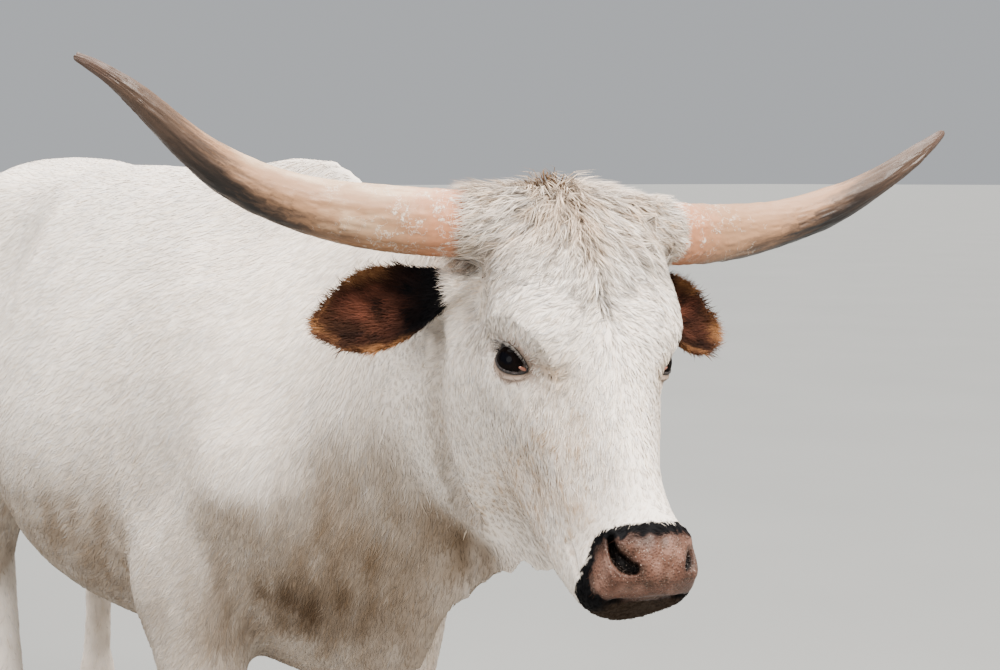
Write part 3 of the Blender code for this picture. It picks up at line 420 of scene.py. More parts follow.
class Shader:
    """A material's node tree with its Principled shader."""

    def __init__(self, name: str) -> None:
        """Makes a material of this name."""
        self.material = bpy.data.materials.new(name)
        self.material.use_nodes = True
        self.tree = self.material.node_tree
        self.principled = self.tree.nodes["Principled BSDF"]

    def node(self, kind: str, settings: dict, inputs: dict, output: object = 0) -> Wire:
        """Adds a node.

        Args:
            kind: the node's type.
            settings: its properties, set before its sockets.
            inputs: the value or wire of each input, by name or number.
            output: which output to return.

        Returns:
            The output as a wire.
        """
        made = self.tree.nodes.new(kind)
        for key, value in settings.items():
            setattr(made, key, value)
        for key, value in inputs.items():
            self._feed(made.inputs[key], value)
        return Wire(self, made.outputs[output])

    def _feed(self, socket: bpy.types.NodeSocket, value: object) -> None:
        """Links or sets one input."""
        if isinstance(value, Wire):
            self.tree.links.new(value.socket, socket)
        elif socket.type == "RGBA":
            socket.default_value = (*value, 1.0)
        else:
            socket.default_value = value

    def set(self, **inputs: object) -> None:
        """Feeds the Principled shader, with underscores for the spaces in a socket's name."""
        for key, value in inputs.items():
            self._feed(self.principled.inputs[key.replace("_", " ")], value)

    def place(self) -> Wire:
        """The object's own coordinates."""
        return self.node("ShaderNodeTexCoord", {}, {}, "Object")

    def attribute(self, name: str, output: str = "Fac") -> Wire:
        """A value kept on the mesh."""
        return self.node("ShaderNodeAttribute", {"attribute_name": name}, {}, output)

    def noise(
        self, scale: float, detail: float = 3.0, vector: Optional[Wire] = None, rough: float = 0.55
    ) -> Wire:
        """Noise between about 0.2 and 0.8."""
        return self.node(
            "ShaderNodeTexNoise", {},
            {"Vector": vector or self.place(), "Scale": scale, "Detail": detail, "Roughness": rough},
        )

    def cells(self, scale: float) -> Wire:
        """The distance to the nearest of scattered points."""
        return self.node("ShaderNodeTexVoronoi", {"feature": "F1"}, {"Vector": self.place(), "Scale": scale})

    def mix(self, share: object, first: object, second: object, blend: str = "MIX") -> Wire:
        """A blend of two colours."""
        settings = {"data_type": "RGBA", "blend_type": blend}
        return self.node("ShaderNodeMix", settings, {0: share, 6: first, 7: second}, 2)

    def shaded(self, colour: Wire, shade: Wire) -> Wire:
        """The colour times a grey."""
        grey = self.node("ShaderNodeCombineColor", {}, {"Red": shade, "Green": shade, "Blue": shade})
        return self.mix(1.0, colour, grey, "MULTIPLY")

    def step(self, value: Wire, low: float, high: float) -> Wire:
        """A smooth step from 0 at low to 1 at high."""
        return self.node(
            "ShaderNodeMapRange", {"interpolation_type": "SMOOTHSTEP"},
            {"Value": value, "From Min": low, "From Max": high, "To Min": 0.0, "To Max": 1.0},
        )

    def bump(self, height: Wire, strength: float, distance: float, under: Optional[Wire] = None) -> Wire:
        """A bump from a height."""
        inputs = {"Height": height, "Strength": strength, "Distance": distance}
        if under:
            inputs["Normal"] = under
        return self.node("ShaderNodeBump", {}, inputs)


EAR_ACROSS = np.cross(EAR_AXIS, unit(EAR_OPENS - EAR_AXIS * (EAR_OPENS @ EAR_AXIS)))


@dataclass(frozen=True)
class Palette:
    """The animal's colours, as linear values."""

    white: tuple = (0.800, 0.705, 0.615)
    cool: tuple = (0.690, 0.620, 0.550)
    tan: tuple = (0.500, 0.330, 0.195)
    # dun is mostly laid as painted shade; umber darkens the stains and the painted shade low on the neck.
    dun: tuple = (0.185, 0.128, 0.082)
    umber: tuple = (0.060, 0.036, 0.020)
    soot: tuple = (0.0032, 0.0030, 0.0034)
    pad: tuple = (0.086, 0.041, 0.028)
    chin: tuple = (0.030, 0.019, 0.012)
    pink: tuple = (0.520, 0.300, 0.230)
    rufous: tuple = (0.085, 0.034, 0.017)
    glow: tuple = (0.150, 0.050, 0.030)
    fringe: tuple = (0.330, 0.150, 0.060)
    horn_claw: tuple = (0.060, 0.048, 0.040)


class Canvas:
    """Places on the skin, and the colours laid over one another on them."""

    def __init__(self, points: Array, normals: Array, first: tuple) -> None:
        """Starts with one colour everywhere."""
        self.points, self.normals = points, normals
        self.h, self.hn = moved(points, TO_HEAD), turned(normals, TO_HEAD)
        self.folded = folded(self.h)
        self.on_head = close_to(self.h, HEAD_MIDDLE, 0.27, 0.34)
        self.cloud = self.noise(0.10, 1) + 0.5 * self.noise(0.04, 2)
        self.made = np.tile(np.array(first), (len(points), 1))

    def noise(self, size: float, seed: int, squeeze: tuple = (1.0, 1.0, 1.0)) -> Array:
        """Noise at the places, drawn out along the axes whose squeeze is below one."""
        return value_noise(self.points * np.array(squeeze), size, seed)

    def lay(self, colour: tuple, share: Array) -> None:
        """Mixes a colour in by a share."""
        self.made += (np.array(colour) - self.made) * np.clip(share, 0, 1)[:, None]

    def lay_spots(self, colour: tuple, spots: tuple, places: Array, strength: Array) -> None:
        """Lays soft spots of one colour, each stated by its centre, size and share."""
        for centre, size, share in spots:
            self.lay(colour, share * blob(places, centre, size) * strength)


@dataclass(frozen=True)
class Markings:
    """Where the colours lie, painted shade among them. The skin and every tuft of hair ask the same
    functions.
    """

    palette: Palette = Palette()
    # Spots of dun on the face: painted shade below the eyes, in the folds, on the cheeks and under the jaw,
    # partly the face's own tone.
    face_tone_shade_spots: tuple = (
        ((0.092, 0.066, -0.246), 0.022, 0.30), ((0.074, 0.053, -0.284), 0.020, 0.20),
        ((0.073, 0.082, -0.317), 0.026, 0.18), ((0.062, 0.080, -0.372), 0.024, 0.16),
        ((0.066, 0.004, -0.240), 0.012, 0.35), ((0.118, 0.100, -0.150), 0.026, 0.20),
        ((0.100, 0.165, -0.270), 0.050, 0.10), ((0.040, 0.215, -0.330), 0.060, 0.45),
    )
    # Dark spots low on the neck, the brisket and the belly: partly stains, partly painted shade under the jaw
    # and beneath the body.
    umber_stain_shade_spots: tuple = (
        ((-0.150, -0.550, 0.775), (0.13, 0.085, 0.054), 0.78),
        ((-0.140, -0.630, 0.845), (0.08, 0.050, 0.050), 0.34),
        ((-0.065, -0.810, 0.900), (0.07, 0.046, 0.040), 0.58),
        ((-0.150, -0.200, 0.700), (0.18, 0.250, 0.060), 0.30),
    )
    body_stain_shade_spots: tuple = (
        ((-0.140, -0.575, 0.780), (0.16, 0.125, 0.086), 1.00),
        ((-0.140, -0.660, 0.870), (0.12, 0.082, 0.072), 0.92),
        ((-0.065, -0.805, 0.902), (0.09, 0.064, 0.060), 1.00),
        ((-0.170, -0.630, 0.960), (0.09, 0.040, 0.095), 0.44),
        ((-0.280, -0.080, 0.815), (0.10, 0.220, 0.080), 0.80),
        ((-0.210, -0.435, 0.720), (0.09, 0.070, 0.055), 0.45),
        ((-0.080, -0.700, 0.800), (0.09, 0.060, 0.050), 0.30),
    )

    def muzzle_top(self, h: Array) -> Array:
        """How far each head-frame point is below the upper border of the muzzle's dark band."""
        x = np.abs(h[:, 0])
        wander = 0.0018 * value_noise(h, 0.006, 5) + 0.0012 * value_noise(h, 0.0025, 16)
        return -0.4165 + 0.0050 * (x / 0.045) ** 2 - h[:, 2] + wander

    def muzzle_side(self, h: Array) -> Array:
        """How far each head-frame point is in front of the border between bare nose and dark hair."""
        border = np.interp(
            -h[:, 2], (0.40, 0.44, 0.454, 0.467, 0.480, 0.490), (0.031, 0.037, 0.0445, 0.050, 0.0445, 0.042)
        )
        return border - h[:, 1] + 0.0018 * value_noise(h, 0.008, 6)

    def pad(self, h: Array) -> Array:
        """How much of each head-frame point is bare nose."""
        ragged = 0.0042 * value_noise(h, 0.0045, 20)
        below = ease(self.muzzle_top(h) + ragged, 0.0140, 0.0205)
        return below * ease(self.muzzle_side(h) + ragged, -0.0012, 0.0026)

    def margin(self, h: Array) -> Array:
        """The black hair round the nose and along the lips."""
        outer = np.interp(
            -h[:, 2], (0.40, 0.422, 0.437, 0.448, 0.456, 0.49), (0.038, 0.042, 0.050, 0.068, 0.108, 0.116)
        )
        outer = outer - h[:, 1] + 0.0066 * value_noise(h, 0.007, 7) + 0.0044 * value_noise(h, 0.003, 21)
        return ease(self.muzzle_top(h), 0.0, 0.0016) * ease(outer, -0.0010, 0.0022)

    def chin(self, h: Array) -> Array:
        """The dark lower lip and the front of the chin."""
        y, x = h[:, 1], np.abs(h[:, 0])
        front = ease(-h[:, 2] + 0.003 * value_noise(h, 0.01, 8), 0.470, 0.480)
        return ease(y, 0.040, 0.046) * (1 - ease(y, 0.100, 0.118)) * front * (1 - ease(x, 0.036, 0.052))

    def eye_distance(self, h: Array) -> Array:
        """How far each head-frame point is from the nearer eye's centre."""
        return np.linalg.norm(folded(h) - EYE_CENTRE, axis=1)

    def ear(self, h: Array) -> tuple[Array, Array, Array]:
        """For the ears: how much each point is ear, how far along it is, and how far across from -1 to 1."""
        from_root = folded(h) - EAR_ROOT
        along = from_root @ EAR_AXIS / EAR_LENGTH
        droop = EAR_DROOP * np.clip(along, 0, 1) ** EAR_DROOP_CURVE
        aside = (from_root @ EAR_ACROSS - droop) / EAR_HALF_WIDTH
        share = np.zeros(len(h))
        close = np.nonzero(np.linalg.norm(from_root, axis=1) < 0.24)[0]
        for index, place in zip(close, moved(h[close], HEAD_MATRIX)):
            gaps = [tree.find_nearest(place, 0.012)[3] for tree in ear_trees()]
            share[index] = min((gap for gap in gaps if gap is not None), default=1.0)
        share[close] = 1 - ease(share[close], 0.0040, 0.0085)
        return share, along, aside

    def ear_inside(self, h: Array, head_normals: Array) -> Array:
        """How much each point faces the ear's opening."""
        return ease((head_normals * mirrored(h[:, 0])) @ unit(EAR_OPENS), -0.15, 0.15)

    def colour(self, points: Array, normals: Array) -> Array:
        """The colour at each point.

        Args:
            points: places on the skin, in the part's frame.
            normals: the skin's normals there.

        Returns:
            One linear colour for each point.
        """
        canvas = Canvas(points, normals, self.palette.white)
        canvas.lay(self.palette.cool, 0.35 + 0.35 * canvas.cloud)
        for paint in (self.paint_head, self.paint_trunk, self.paint_eyes, self.paint_muzzle, self.paint_ears):
            paint(canvas, self.palette)
        return canvas.made

    def paint_head(self, c: Canvas, p: Palette) -> None:
        """Tan on the crown and the sides of the nose, the sides partly painted shade; painted shade along the
        parting, in the wavy hair's gaps, in the wrinkles by the eyes' inner corners and along the jaw; and
        spots of the face's tone and painted shade.
        """
        x, z = c.folded[:, 0], c.h[:, 2]
        crown = ease(z, -0.15, -0.02) * (1 - ease(x, 0.11, 0.16)) * c.on_head
        c.lay(p.tan, crown * (0.34 + 0.40 * c.noise(0.016, 3)))
        # Painted shade along the parting, where the hair divides.
        c.lay(p.tan, 0.46 * (bell(c.h[:, 0] - PARTING, 0.016) * ease(z, -0.19, -0.05) * c.on_head))
        # Tan on the sides of the nose: partly the coat's tone, partly painted shade on their flanks.
        nasal = ease(-z, 0.24, 0.31) * (1 - ease(-z, 0.38, 0.43)) * ease(x, 0.030, 0.060)
        c.lay(p.tan, nasal * c.on_head * (0.24 + 0.30 * c.noise(0.022, 4)))
        # Painted shade in the gaps between the waves of hair, with the coat's tan.
        wavy = ease(c.noise(0.0055, 22, (1.0, 1.0, 1.6)), 0.15, 0.70)
        c.lay(p.tan, 0.68 * wavy * c.on_head * np.clip(nasal + 0.8 * crown + 0.28, 0, 1))
        # Painted shade in the wrinkles by the inner corner of the eye.
        c.lay(p.tan, 0.75 * blob(c.folded, (0.072, 0.014, -0.236), 0.024) * (0.8 + 0.4 * c.noise(0.008, 15)))
        # Painted shadow along the jaw groove, where the head's edge shades the neck, deepest towards the
        # throat.
        groove, _ = distance_to_line(c.folded, curve_through(JAW_GROOVE, 8))
        lower = 0.40 + 0.50 * ease(c.h[:, 1], 0.19, 0.29)
        c.lay(p.dun, lower * bell(groove, 0.018) * (0.85 + 0.3 * c.noise(0.012, 25)))
        c.lay_spots(p.dun, self.face_tone_shade_spots, c.folded, 0.8 + 0.5 * c.noise(0.010, 18))

    def paint_trunk(self, c: Canvas, p: Palette) -> None:
        """Tan in front, painted shade on what faces down, dark spots low on the neck and the belly that are
        partly stains and partly painted shade, and the dewclaws.
        """
        behind, height = 1 - c.on_head, c.points[:, 2]
        streak = c.noise(0.016, 19, (1.0, 0.55, 0.30))
        fore = 1 - ease(c.points[:, 1], -0.30, 0.10)
        c.lay(p.tan, behind * fore * (0.10 + 0.07 * streak))
        # Painted shade: dun on the surfaces that face down, below the top of the back.
        shade_facing_down = ease(-c.normals[:, 2], -0.20, 0.40) * (1 - ease(height, 1.02, 1.16))
        c.lay(p.dun, behind * shade_facing_down * (0.84 - 0.10 * fore) * (0.90 + 0.18 * streak))
        c.lay_spots(p.dun, self.body_stain_shade_spots, c.points, (0.90 + 0.35 * streak) * behind)
        c.lay_spots(p.umber, self.umber_stain_shade_spots, c.points, (0.95 + 0.60 * streak) * behind)
        c.lay(p.tan, (1 - ease(height, 0.10, 0.60)) * (0.18 + 0.16 * c.cloud))
        claws = [close_to((c.points - at) / DEWCLAW_SHAPE, (0, 0, 0), 0.0125, 0.0165) for at in dewclaws()]
        c.lay(p.horn_claw, np.max(claws, axis=0))

    def paint_eyes(self, c: Canvas, p: Palette) -> None:
        """Painted shade in the upper fold, and pink lids that darken towards the eye, partly for their own
        dark rim and partly as painted shade.
        """
        # Painted shade along the crease of the upper fold.
        crease, _ = distance_to_line(c.folded, curve_through(UPPER_FOLD, 8))
        c.lay(p.dun, 0.60 * bell(crease, 0.0030))
        # Pink bare lid, darkened towards the eye partly for its dark rim and partly as painted shade.
        away = self.eye_distance(c.h)
        for colour, share, full, none in (
            (p.pink, 0.50, 0.0250, 0.0295), (p.dun, 0.52, 0.0246, 0.0284),
            (p.chin, 0.50, 0.0240, 0.0278), (p.soot, 0.80, 0.0232, 0.0244),
        ):
            c.lay(colour, share * (1 - ease(away, full, none)))

    def paint_muzzle(self, c: Canvas, p: Palette) -> None:
        """The black hair round the nose, the chin, the bare nose and the line of the lips, dark partly for
        the lips' own colour and partly as painted shade in the mouth's line.
        """
        margin, pad = self.margin(c.h), self.pad(c.h) * c.on_head
        c.lay(p.soot, margin * c.on_head)
        c.lay(p.chin, self.chin(c.h) * c.on_head)
        c.lay(p.pad, pad)
        c.lay(p.pink, pad * np.clip(0.04 + 0.22 * c.noise(0.014, 10), 0, 1))
        c.lay(p.chin, pad * np.clip(0.16 + 0.50 * c.noise(0.009, 17), 0, 1))
        c.lay(p.soot, pad * 0.66 * (1 - ease(self.muzzle_top(c.h), 0.014, 0.034)))
        c.lay(p.soot, pad * 0.60 * (1 - ease(self.muzzle_side(c.h), 0.001, 0.009)))
        # Dark along the line of the lips: the lips' own dark edge, with painted shade in the mouth's line.
        lip, _ = distance_to_line(c.folded, curve_through(MOUTH_LINE, 8))
        c.lay(p.soot, 0.92 * (1 - ease(lip, 0.0030, 0.0085)) * (margin + pad > 0.3))

    def paint_ears(self, c: Canvas, p: Palette) -> None:
        """Black ears, rufous inside, behind and along the edge, with a paler fringe."""
        ear, along, aside = self.ear(c.h)
        inside = self.ear_inside(c.h, c.hn)
        ear = ear * ease(along + 0.012 * c.noise(0.006, 24), 0.015, 0.055)
        c.lay(p.soot, ear)
        c.lay(p.rufous, ear * inside * (0.22 + 0.18 * c.noise(0.009, 23)) * ease(along, 0.26, 0.58))
        back = ear * (1 - inside) * ease(along, 0.05, 0.30)
        c.lay(p.rufous, back * (0.60 + 0.35 * c.noise(0.02, 11)))
        glow = bell(along - 0.58, 0.22) * bell(aside + 0.15, 0.55)
        c.lay(p.glow, ear * inside * np.clip(glow * (0.35 + 0.75 * c.noise(0.014, 13)), 0, 1))
        rim = np.clip(ease(np.abs(aside), 0.60, 0.95) + ease(along, 0.80, 1.0), 0, 1)
        rim = rim * ease(along, 0.20, 0.55)
        c.lay(p.rufous, ear * rim * 0.8)
        c.lay(p.fringe, ear * rim * ease(c.noise(0.012, 12), -0.5, 0.5) * 0.8)

    def wet(self, points: Array) -> Array:
        """How moist the surface is: the nose, and the skin at the eyes."""
        h = moved(points, TO_HEAD)
        return np.maximum(self.pad(h), 0.6 * (1 - ease(self.eye_distance(h), 0.0225, 0.0250)))


def tree_of(meshes: Sequence[Mesh]) -> BVHTree:
    """A search tree over the triangles of some meshes."""
    corners, faces = [], []
    for mesh in meshes:
        mesh.calc_loop_triangles()
        start = sum(len(part) for part in corners)
        corners.append(points_of(mesh))
        faces += [tuple(start + v for v in triangle.vertices) for triangle in mesh.loop_triangles]
    return BVHTree.FromPolygons(np.vstack(corners).tolist(), faces, all_triangles=True)


@lru_cache(maxsize=None)
def ear_trees() -> list[BVHTree]:
    """The ears of the CAD part, ready to be searched."""
    return [tree_of([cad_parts[f"ear_{side}"].data]) for side in SIDES]


@lru_cache(maxsize=None)
def dewclaws() -> list[Array]:
    """Where the dewclaws are, behind each fetlock, from the boxes of the claws below them."""
    found = []
    for limb, behind in (("fore", 0.022), ("hind", 0.016)):
        for side in SIDES:
            boxes = [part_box(f"claw_{limb}_{side}_{place}") for place in ("inner", "outer")]
            middle = sum((low + high for low, high in boxes), Vector()) / 4
            back = max(high.y for _, high in boxes)
            found += [np.array((middle.x + aside, back + behind, 0.114)) for aside in (-0.021, 0.021)]
    return found


def colour_mesh(piece: Piece, colours: Array) -> None:
    """Keeps a colour on each vertex."""
    keep_values(piece.data, "coat_colour", np.column_stack([colours, np.ones(len(colours))]))


@dataclass(frozen=True)
class HideFinish:
    """Short hair that lies flat on skin, with a bare moist nose."""

    hair_bump: float = 0.0010
    pebble_bump: float = 0.0009
    sheen: float = 0.07
    dry: float = 0.85
    moist: float = 0.44
    fleck: tuple = (0.46, 0.36, 0.30)

    def material(self) -> Material:
        """The skin's material."""
        shader = Shader("hide")
        moist = shader.attribute("moist")
        lie = shader.node(
            "ShaderNodeMapping", {},
            {"Vector": shader.place(), "Rotation": (0.0, 0.70, 0.0), "Scale": (1.0, 0.35, 0.30)},
        )
        streaks = shader.noise(330.0, 3.0, lie, 0.6)
        tufts = shader.noise(90.0, 3.0, lie, 0.6)
        base = shader.attribute("coat_colour", "Color")
        shade = (streaks - 0.5) * 0.16 + (tufts - 0.5) * 0.16 + 1.0
        dry_colour = shader.shaded(base, shade)
        pebbles = shader.cells(310.0)
        mottle = shader.noise(140.0, 3.0)
        pad_shade = shader.step(pebbles, 0.0, 0.55) * 0.45 + mottle * 0.5 + 0.42
        pad_colour = shader.shaded(base, pad_shade)
        flecks = shader.step(shader.noise(520.0, 4.0, None, 0.7), 0.60, 0.68) * moist * 0.55
        pad_colour = shader.mix(flecks, pad_colour, self.fleck)
        shader.set(Base_Color=shader.mix(moist, dry_colour, pad_colour))
        shader.set(Roughness=self.dry + moist * (self.moist - self.dry) + (mottle - 0.5) * 0.15)
        hair = shader.bump((streaks + tufts) * (1.0 - moist), 0.6, self.hair_bump)
        grain = (1.0 - shader.step(pebbles, 0.0, 0.7)) * moist
        shader.set(Normal=shader.bump(grain, 0.8, self.pebble_bump, hair))
        shader.set(Coat_Weight=moist * self.sheen, Coat_Roughness=0.28, Specular_IOR_Level=0.06)
        return shader.material


@dataclass(frozen=True)
class CoatFinish:
    """Hair: the colour that its tuft carries, with painted shade along each tuft towards its root and between
    the locks, and a fine grain a little lighter or darker.
    """

    roughness: float = 0.66
    contrast: float = 0.20

    def material(self) -> Material:
        """The coat's material."""
        shader = Shader("coat")
        base = shader.attribute("coat_colour", "Color")
        grain = shader.noise(900.0, 2.0)
        shader.set(Base_Color=shader.shaded(base, (grain - 0.5) * self.contrast + 1.0))
        shader.set(Roughness=self.roughness + (grain - 0.5) * 0.2, Specular_IOR_Level=0.02)
        return shader.material


@dataclass(frozen=True)
class HornFinish:
    """Weathered horn: cream to tan, dark and streaked on the outer underside, flaky by the head, with painted
    shade making the underside more tan.
    """

    cream: tuple = (0.600, 0.430, 0.275)
    tan: tuple = (0.300, 0.160, 0.084)
    brown: tuple = (0.074, 0.044, 0.029)
    dark: tuple = (0.010, 0.0072, 0.0062)
    tip: tuple = (0.070, 0.040, 0.028)
    flake: tuple = (0.760, 0.690, 0.600)
    raw: tuple = (0.390, 0.160, 0.078)

    def material(self, name: str, dark_from: float, dark_full: float, warmth: float) -> Material:
        """One horn's material.

        Args:
            name: the material's name.
            dark_from: where along the horn the dark streaks begin.
            dark_full: where they cover the horn's underside.
            warmth: how much more of the horn is tan than cream.

        Returns:
            The material.
        """
        shader = Shader(name)
        along, under = shader.attribute("along"), shader.attribute("under")
        grain_place = shader.attribute("grain_place", "Vector")
        fibres = shader.noise(120.0, 4.0, grain_place, 0.65)
        broad = shader.noise(26.0, 3.0, grain_place, 0.6)
        blotch = shader.noise(13.0, 4.0)
        # under * 0.14 is painted shade: the underside a little more tan.
        tanned = broad + (blotch - 0.5) * 0.6 + under * 0.14 + warmth
        body = shader.mix(shader.step(tanned, 0.26, 0.62), self.cream, self.tan)
        body = shader.mix(shader.step(fibres, 0.42, 0.66) * 0.50, body, self.tan)
        age = along + under * 0.30 + (fibres - 0.5) * 0.55 + (blotch - 0.5) * 0.25
        body = shader.mix(shader.step(age, dark_from - 0.14, dark_from + 0.10) * 0.85, body, self.brown)
        darkness = shader.step(age, dark_from, dark_full)
        body = shader.mix(darkness, body, self.dark)
        body = shader.mix(shader.step(along + (fibres - 0.5) * 0.34, 0.60, 0.84) * 0.80, body, self.brown)
        body = shader.mix(shader.step(along, 0.88, 0.97) * 0.85, body, self.tip)
        scurf = shader.noise(75.0, 5.0, None, 0.7)
        curls = shader.noise(60.0, 4.0, None, 0.6)
        lines = 1.0 - shader.step((curls - 0.5).magnitude(), 0.004, 0.022)
        patches = shader.step(shader.noise(20.0, 2.0) + (0.25 - along) * 0.35, 0.47, 0.58)
        scales = shader.step(scurf + (0.16 - along) * 0.40, 0.57, 0.66)
        flakes = (scales * 0.8 + lines * patches * 0.45).clamp()
        flakes = flakes * (1.0 - darkness * 0.7) * (1.0 - shader.step(along, 0.30, 0.55) * 0.85)
        body = shader.mix((1.0 - shader.step(along + (scurf - 0.5) * 0.20, 0.08, 0.25)) * 0.9, body, self.raw)
        body = shader.mix(flakes * 0.70, body, self.flake)
        shader.set(Base_Color=body)
        shader.set(Roughness=0.52 + flakes * 0.25 - darkness * 0.12 + (fibres - 0.5) * 0.2)
        height = fibres * 0.6 + flakes * 0.7 + blotch * 0.3
        shader.set(Normal=shader.bump(height, 0.55, 0.0014), Coat_Weight=0.03, Specular_IOR_Level=0.25)
        return shader.material


@dataclass(frozen=True)
class PlainFinish:
    """A small part's finish with fine mottling."""

    name: str
    colour: tuple
    other: tuple
    roughness: float
    scale: float
    coat: float = 0.0
    bump: float = 0.0005
    gloss: float = 0.5

    def material(self) -> Material:
        """The part's material."""
        shader = Shader(self.name)
        mottle = shader.noise(self.scale, 4.0)
        shader.set(Base_Color=shader.mix(shader.step(mottle, 0.35, 0.65), self.colour, self.other))
        shader.set(Roughness=self.roughness + (mottle - 0.5) * 0.15)
        shader.set(Normal=shader.bump(mottle, 0.4, self.bump))
        shader.set(Coat_Weight=self.coat, Coat_Roughness=0.03, Specular_IOR_Level=self.gloss)
        return shader.material


@dataclass(frozen=True)
class EyeFinish:
    """A cow's eye: nearly black, with a dark brown iris and a wide pupil under a clear cornea."""

    iris: tuple = (0.0045, 0.0028, 0.0024)
    pupil: tuple = (0.002, 0.002, 0.003)
    white: tuple = (0.22, 0.16, 0.13)

    def material(self) -> Material:
        """The eyeball's material."""
        shader = Shader("eye")
        iris, pupil = shader.attribute("iris"), shader.attribute("pupil")
        streak = shader.noise(260.0, 3.0)
        inner = shader.mix(shader.step(streak, 0.3, 0.7), self.iris, (0.003, 0.0022, 0.002))
        ball = shader.mix(iris, self.white, inner)
        shader.set(Base_Color=shader.mix(pupil, ball, self.pupil), Roughness=0.12)
        shader.set(Specular_IOR_Level=0.0, Coat_Weight=0.10, Coat_IOR=1.33, Coat_Roughness=0.012)
        return shader.material


def eye_frame(side: int) -> tuple[Array, Array, Array, Array]:
    """One eye's centre and axes in the head's frame: towards the inner corner, up, and outwards."""
    flip = np.array((side, 1, 1))
    out = EYE_AXIS * flip
    slit = np.array((0.0, -math.cos(EYE_SLANT), -math.sin(EYE_SLANT)))
    slit = unit(slit - out * (slit @ out))
    up = np.cross(out, slit)
    if up[2] < 0:
        up = -up
    return EYE_CENTRE * flip, slit, up, out


@dataclass
class Eyes:
    """The eyeballs, the wet rims of the lids, the inner corners and the lashes."""

    inner_reach: float = math.radians(77)
    outer_reach: float = math.radians(71)
    upper_reach: float = math.radians(35)
    lower_reach: float = math.radians(36)
    almond: float = 1.7
    rim_radius: float = 0.0019
    lash_count: int = 84
    lash_length: float = 0.0190

    def opening(self, angle: Array) -> Array:
        """How far from the eye's axis the lids' edge is, at each angle round it."""
        c, s = np.cos(angle), np.sin(angle)
        wide = np.where(c > 0, self.inner_reach, self.outer_reach)
        high = np.where(s > 0, self.upper_reach, self.lower_reach)
        return (np.abs(c / wide) ** self.almond + np.abs(s / high) ** self.almond) ** (-1 / self.almond)

    def edge(self, side: int, radius: float, angles: Array) -> Array:
        """Points along the lids' edge in the head's frame."""
        centre, slit, up, out = eye_frame(side)
        reach = self.opening(angles)
        direction = (
            np.cos(reach)[:, None] * out
            + np.sin(reach)[:, None] * (np.cos(angles)[:, None] * slit + np.sin(angles)[:, None] * up)
        )
        return centre + radius * direction

    def carve(self, points: Array) -> Array:
        """Shapes lids round both eyes.

        Args:
            points: the skin's vertices in the part's frame.

        Returns:
            The vertices with the lids shaped, and a hollow for each eyeball.
        """
        h = moved(points, TO_HEAD)
        for side in SIDES.values():
            centre, slit, up, out = eye_frame(side)
            away = h - centre
            radius = np.linalg.norm(away, axis=1)
            near = np.nonzero(radius < 0.060)[0]
            direction = away[near] / radius[near, None]
            theta = np.arccos(np.clip(direction @ out, -1, 1))
            angle = np.arctan2(direction @ up, direction @ slit)
            edge = self.opening(angle)
            past = theta - edge
            fold = bell(past - 0.42, 0.10) * ease(np.sin(angle), 0.0, 0.6)
            below = bell(past - 0.50, 0.12) * ease(-np.sin(angle), 0.2, 0.8)
            lid = EYE_RADIUS + 0.0012 + 0.0034 * ease(past, 0.0, 0.35) - 0.0022 * fold - 0.0012 * below
            blend = ease(past, 0.40, 1.05)
            new = lid + (radius[near] - lid) * blend
            new = np.where(past < -0.02, np.minimum(radius[near], EYE_RADIUS - 0.0045), new)
            keep = (theta < 1.75) & (radius[near] < 0.058)
            h[near[keep]] = centre + direction[keep] * new[keep, None]
        return moved(h, HEAD_MATRIX)

    def build(self) -> list[Piece]:
        """Makes every piece of both eyes and dresses it."""
        eye_finish = EyeFinish().material()
        rim_finish = PlainFinish(
            "lid_rim", (0.016, 0.007, 0.005), (0.004, 0.0025, 0.0025), roughness=0.62, scale=300.0, bump=0.10
        ).material()
        corner_finish = PlainFinish(
            "eye_corner", (0.30, 0.105, 0.060), (0.20, 0.070, 0.045), roughness=0.30, scale=260.0, coat=0.6
        ).material()
        lash_finish = PlainFinish(
            "lashes", (0.022, 0.018, 0.016), (0.300, 0.270, 0.240), roughness=0.5, scale=160.0
        ).material()
        made = []
        for word, side in SIDES.items():
            ball = self.eyeball(side, f"eyeball_{word}")
            ball.data.materials.append(eye_finish)
            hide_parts(f"eye_{word}")
            angles = np.linspace(0, 2 * math.pi, 72, endpoint=False)
            line = moved(self.edge(side, EYE_RADIUS + 0.0006, angles), HEAD_MATRIX)
            rim = tube(f"lid_rim_{word}", line, np.full(72, self.rim_radius), 8, closed=True)
            rim.data.materials.append(rim_finish)
            corner = self.corner(side, f"eye_corner_{word}")
            corner.data.materials.append(corner_finish)
            lashes = self.lashes(side, f"lashes_{word}")
            lashes.data.materials.append(lash_finish)
            for piece in (ball, rim, corner, lashes):
                piece.data.shade_smooth()
                made.append(piece)
        return made

    def eyeball(self, side: int, name: str) -> Piece:
        """An eyeball with a raised cornea, and its iris and pupil marked on the mesh."""
        ball = sphere(name, EYE_RADIUS, 48, 32)
        local = points_of(ball.data)
        out = ease(local[:, 2] / EYE_RADIUS, 0.55, 0.85)
        iris = ease(local[:, 2] / EYE_RADIUS, 0.42, 0.50)
        pupil = 1 - ease(np.sqrt((local[:, 0] / 0.0100) ** 2 + (local[:, 1] / 0.0062) ** 2), 0.85, 1.05)
        pupil = pupil * (local[:, 2] > 0)
        centre, slit, up, axis = eye_frame(side)
        local = local * (1 + 0.035 * out)[:, None]
        head = centre + local[:, :1] * slit + local[:, 1:2] * up + local[:, 2:] * axis
        put_points(ball.data, moved(head, HEAD_MATRIX))
        keep_values(ball.data, "iris", iris)
        keep_values(ball.data, "pupil", pupil)
        face_outwards(ball)
        return ball

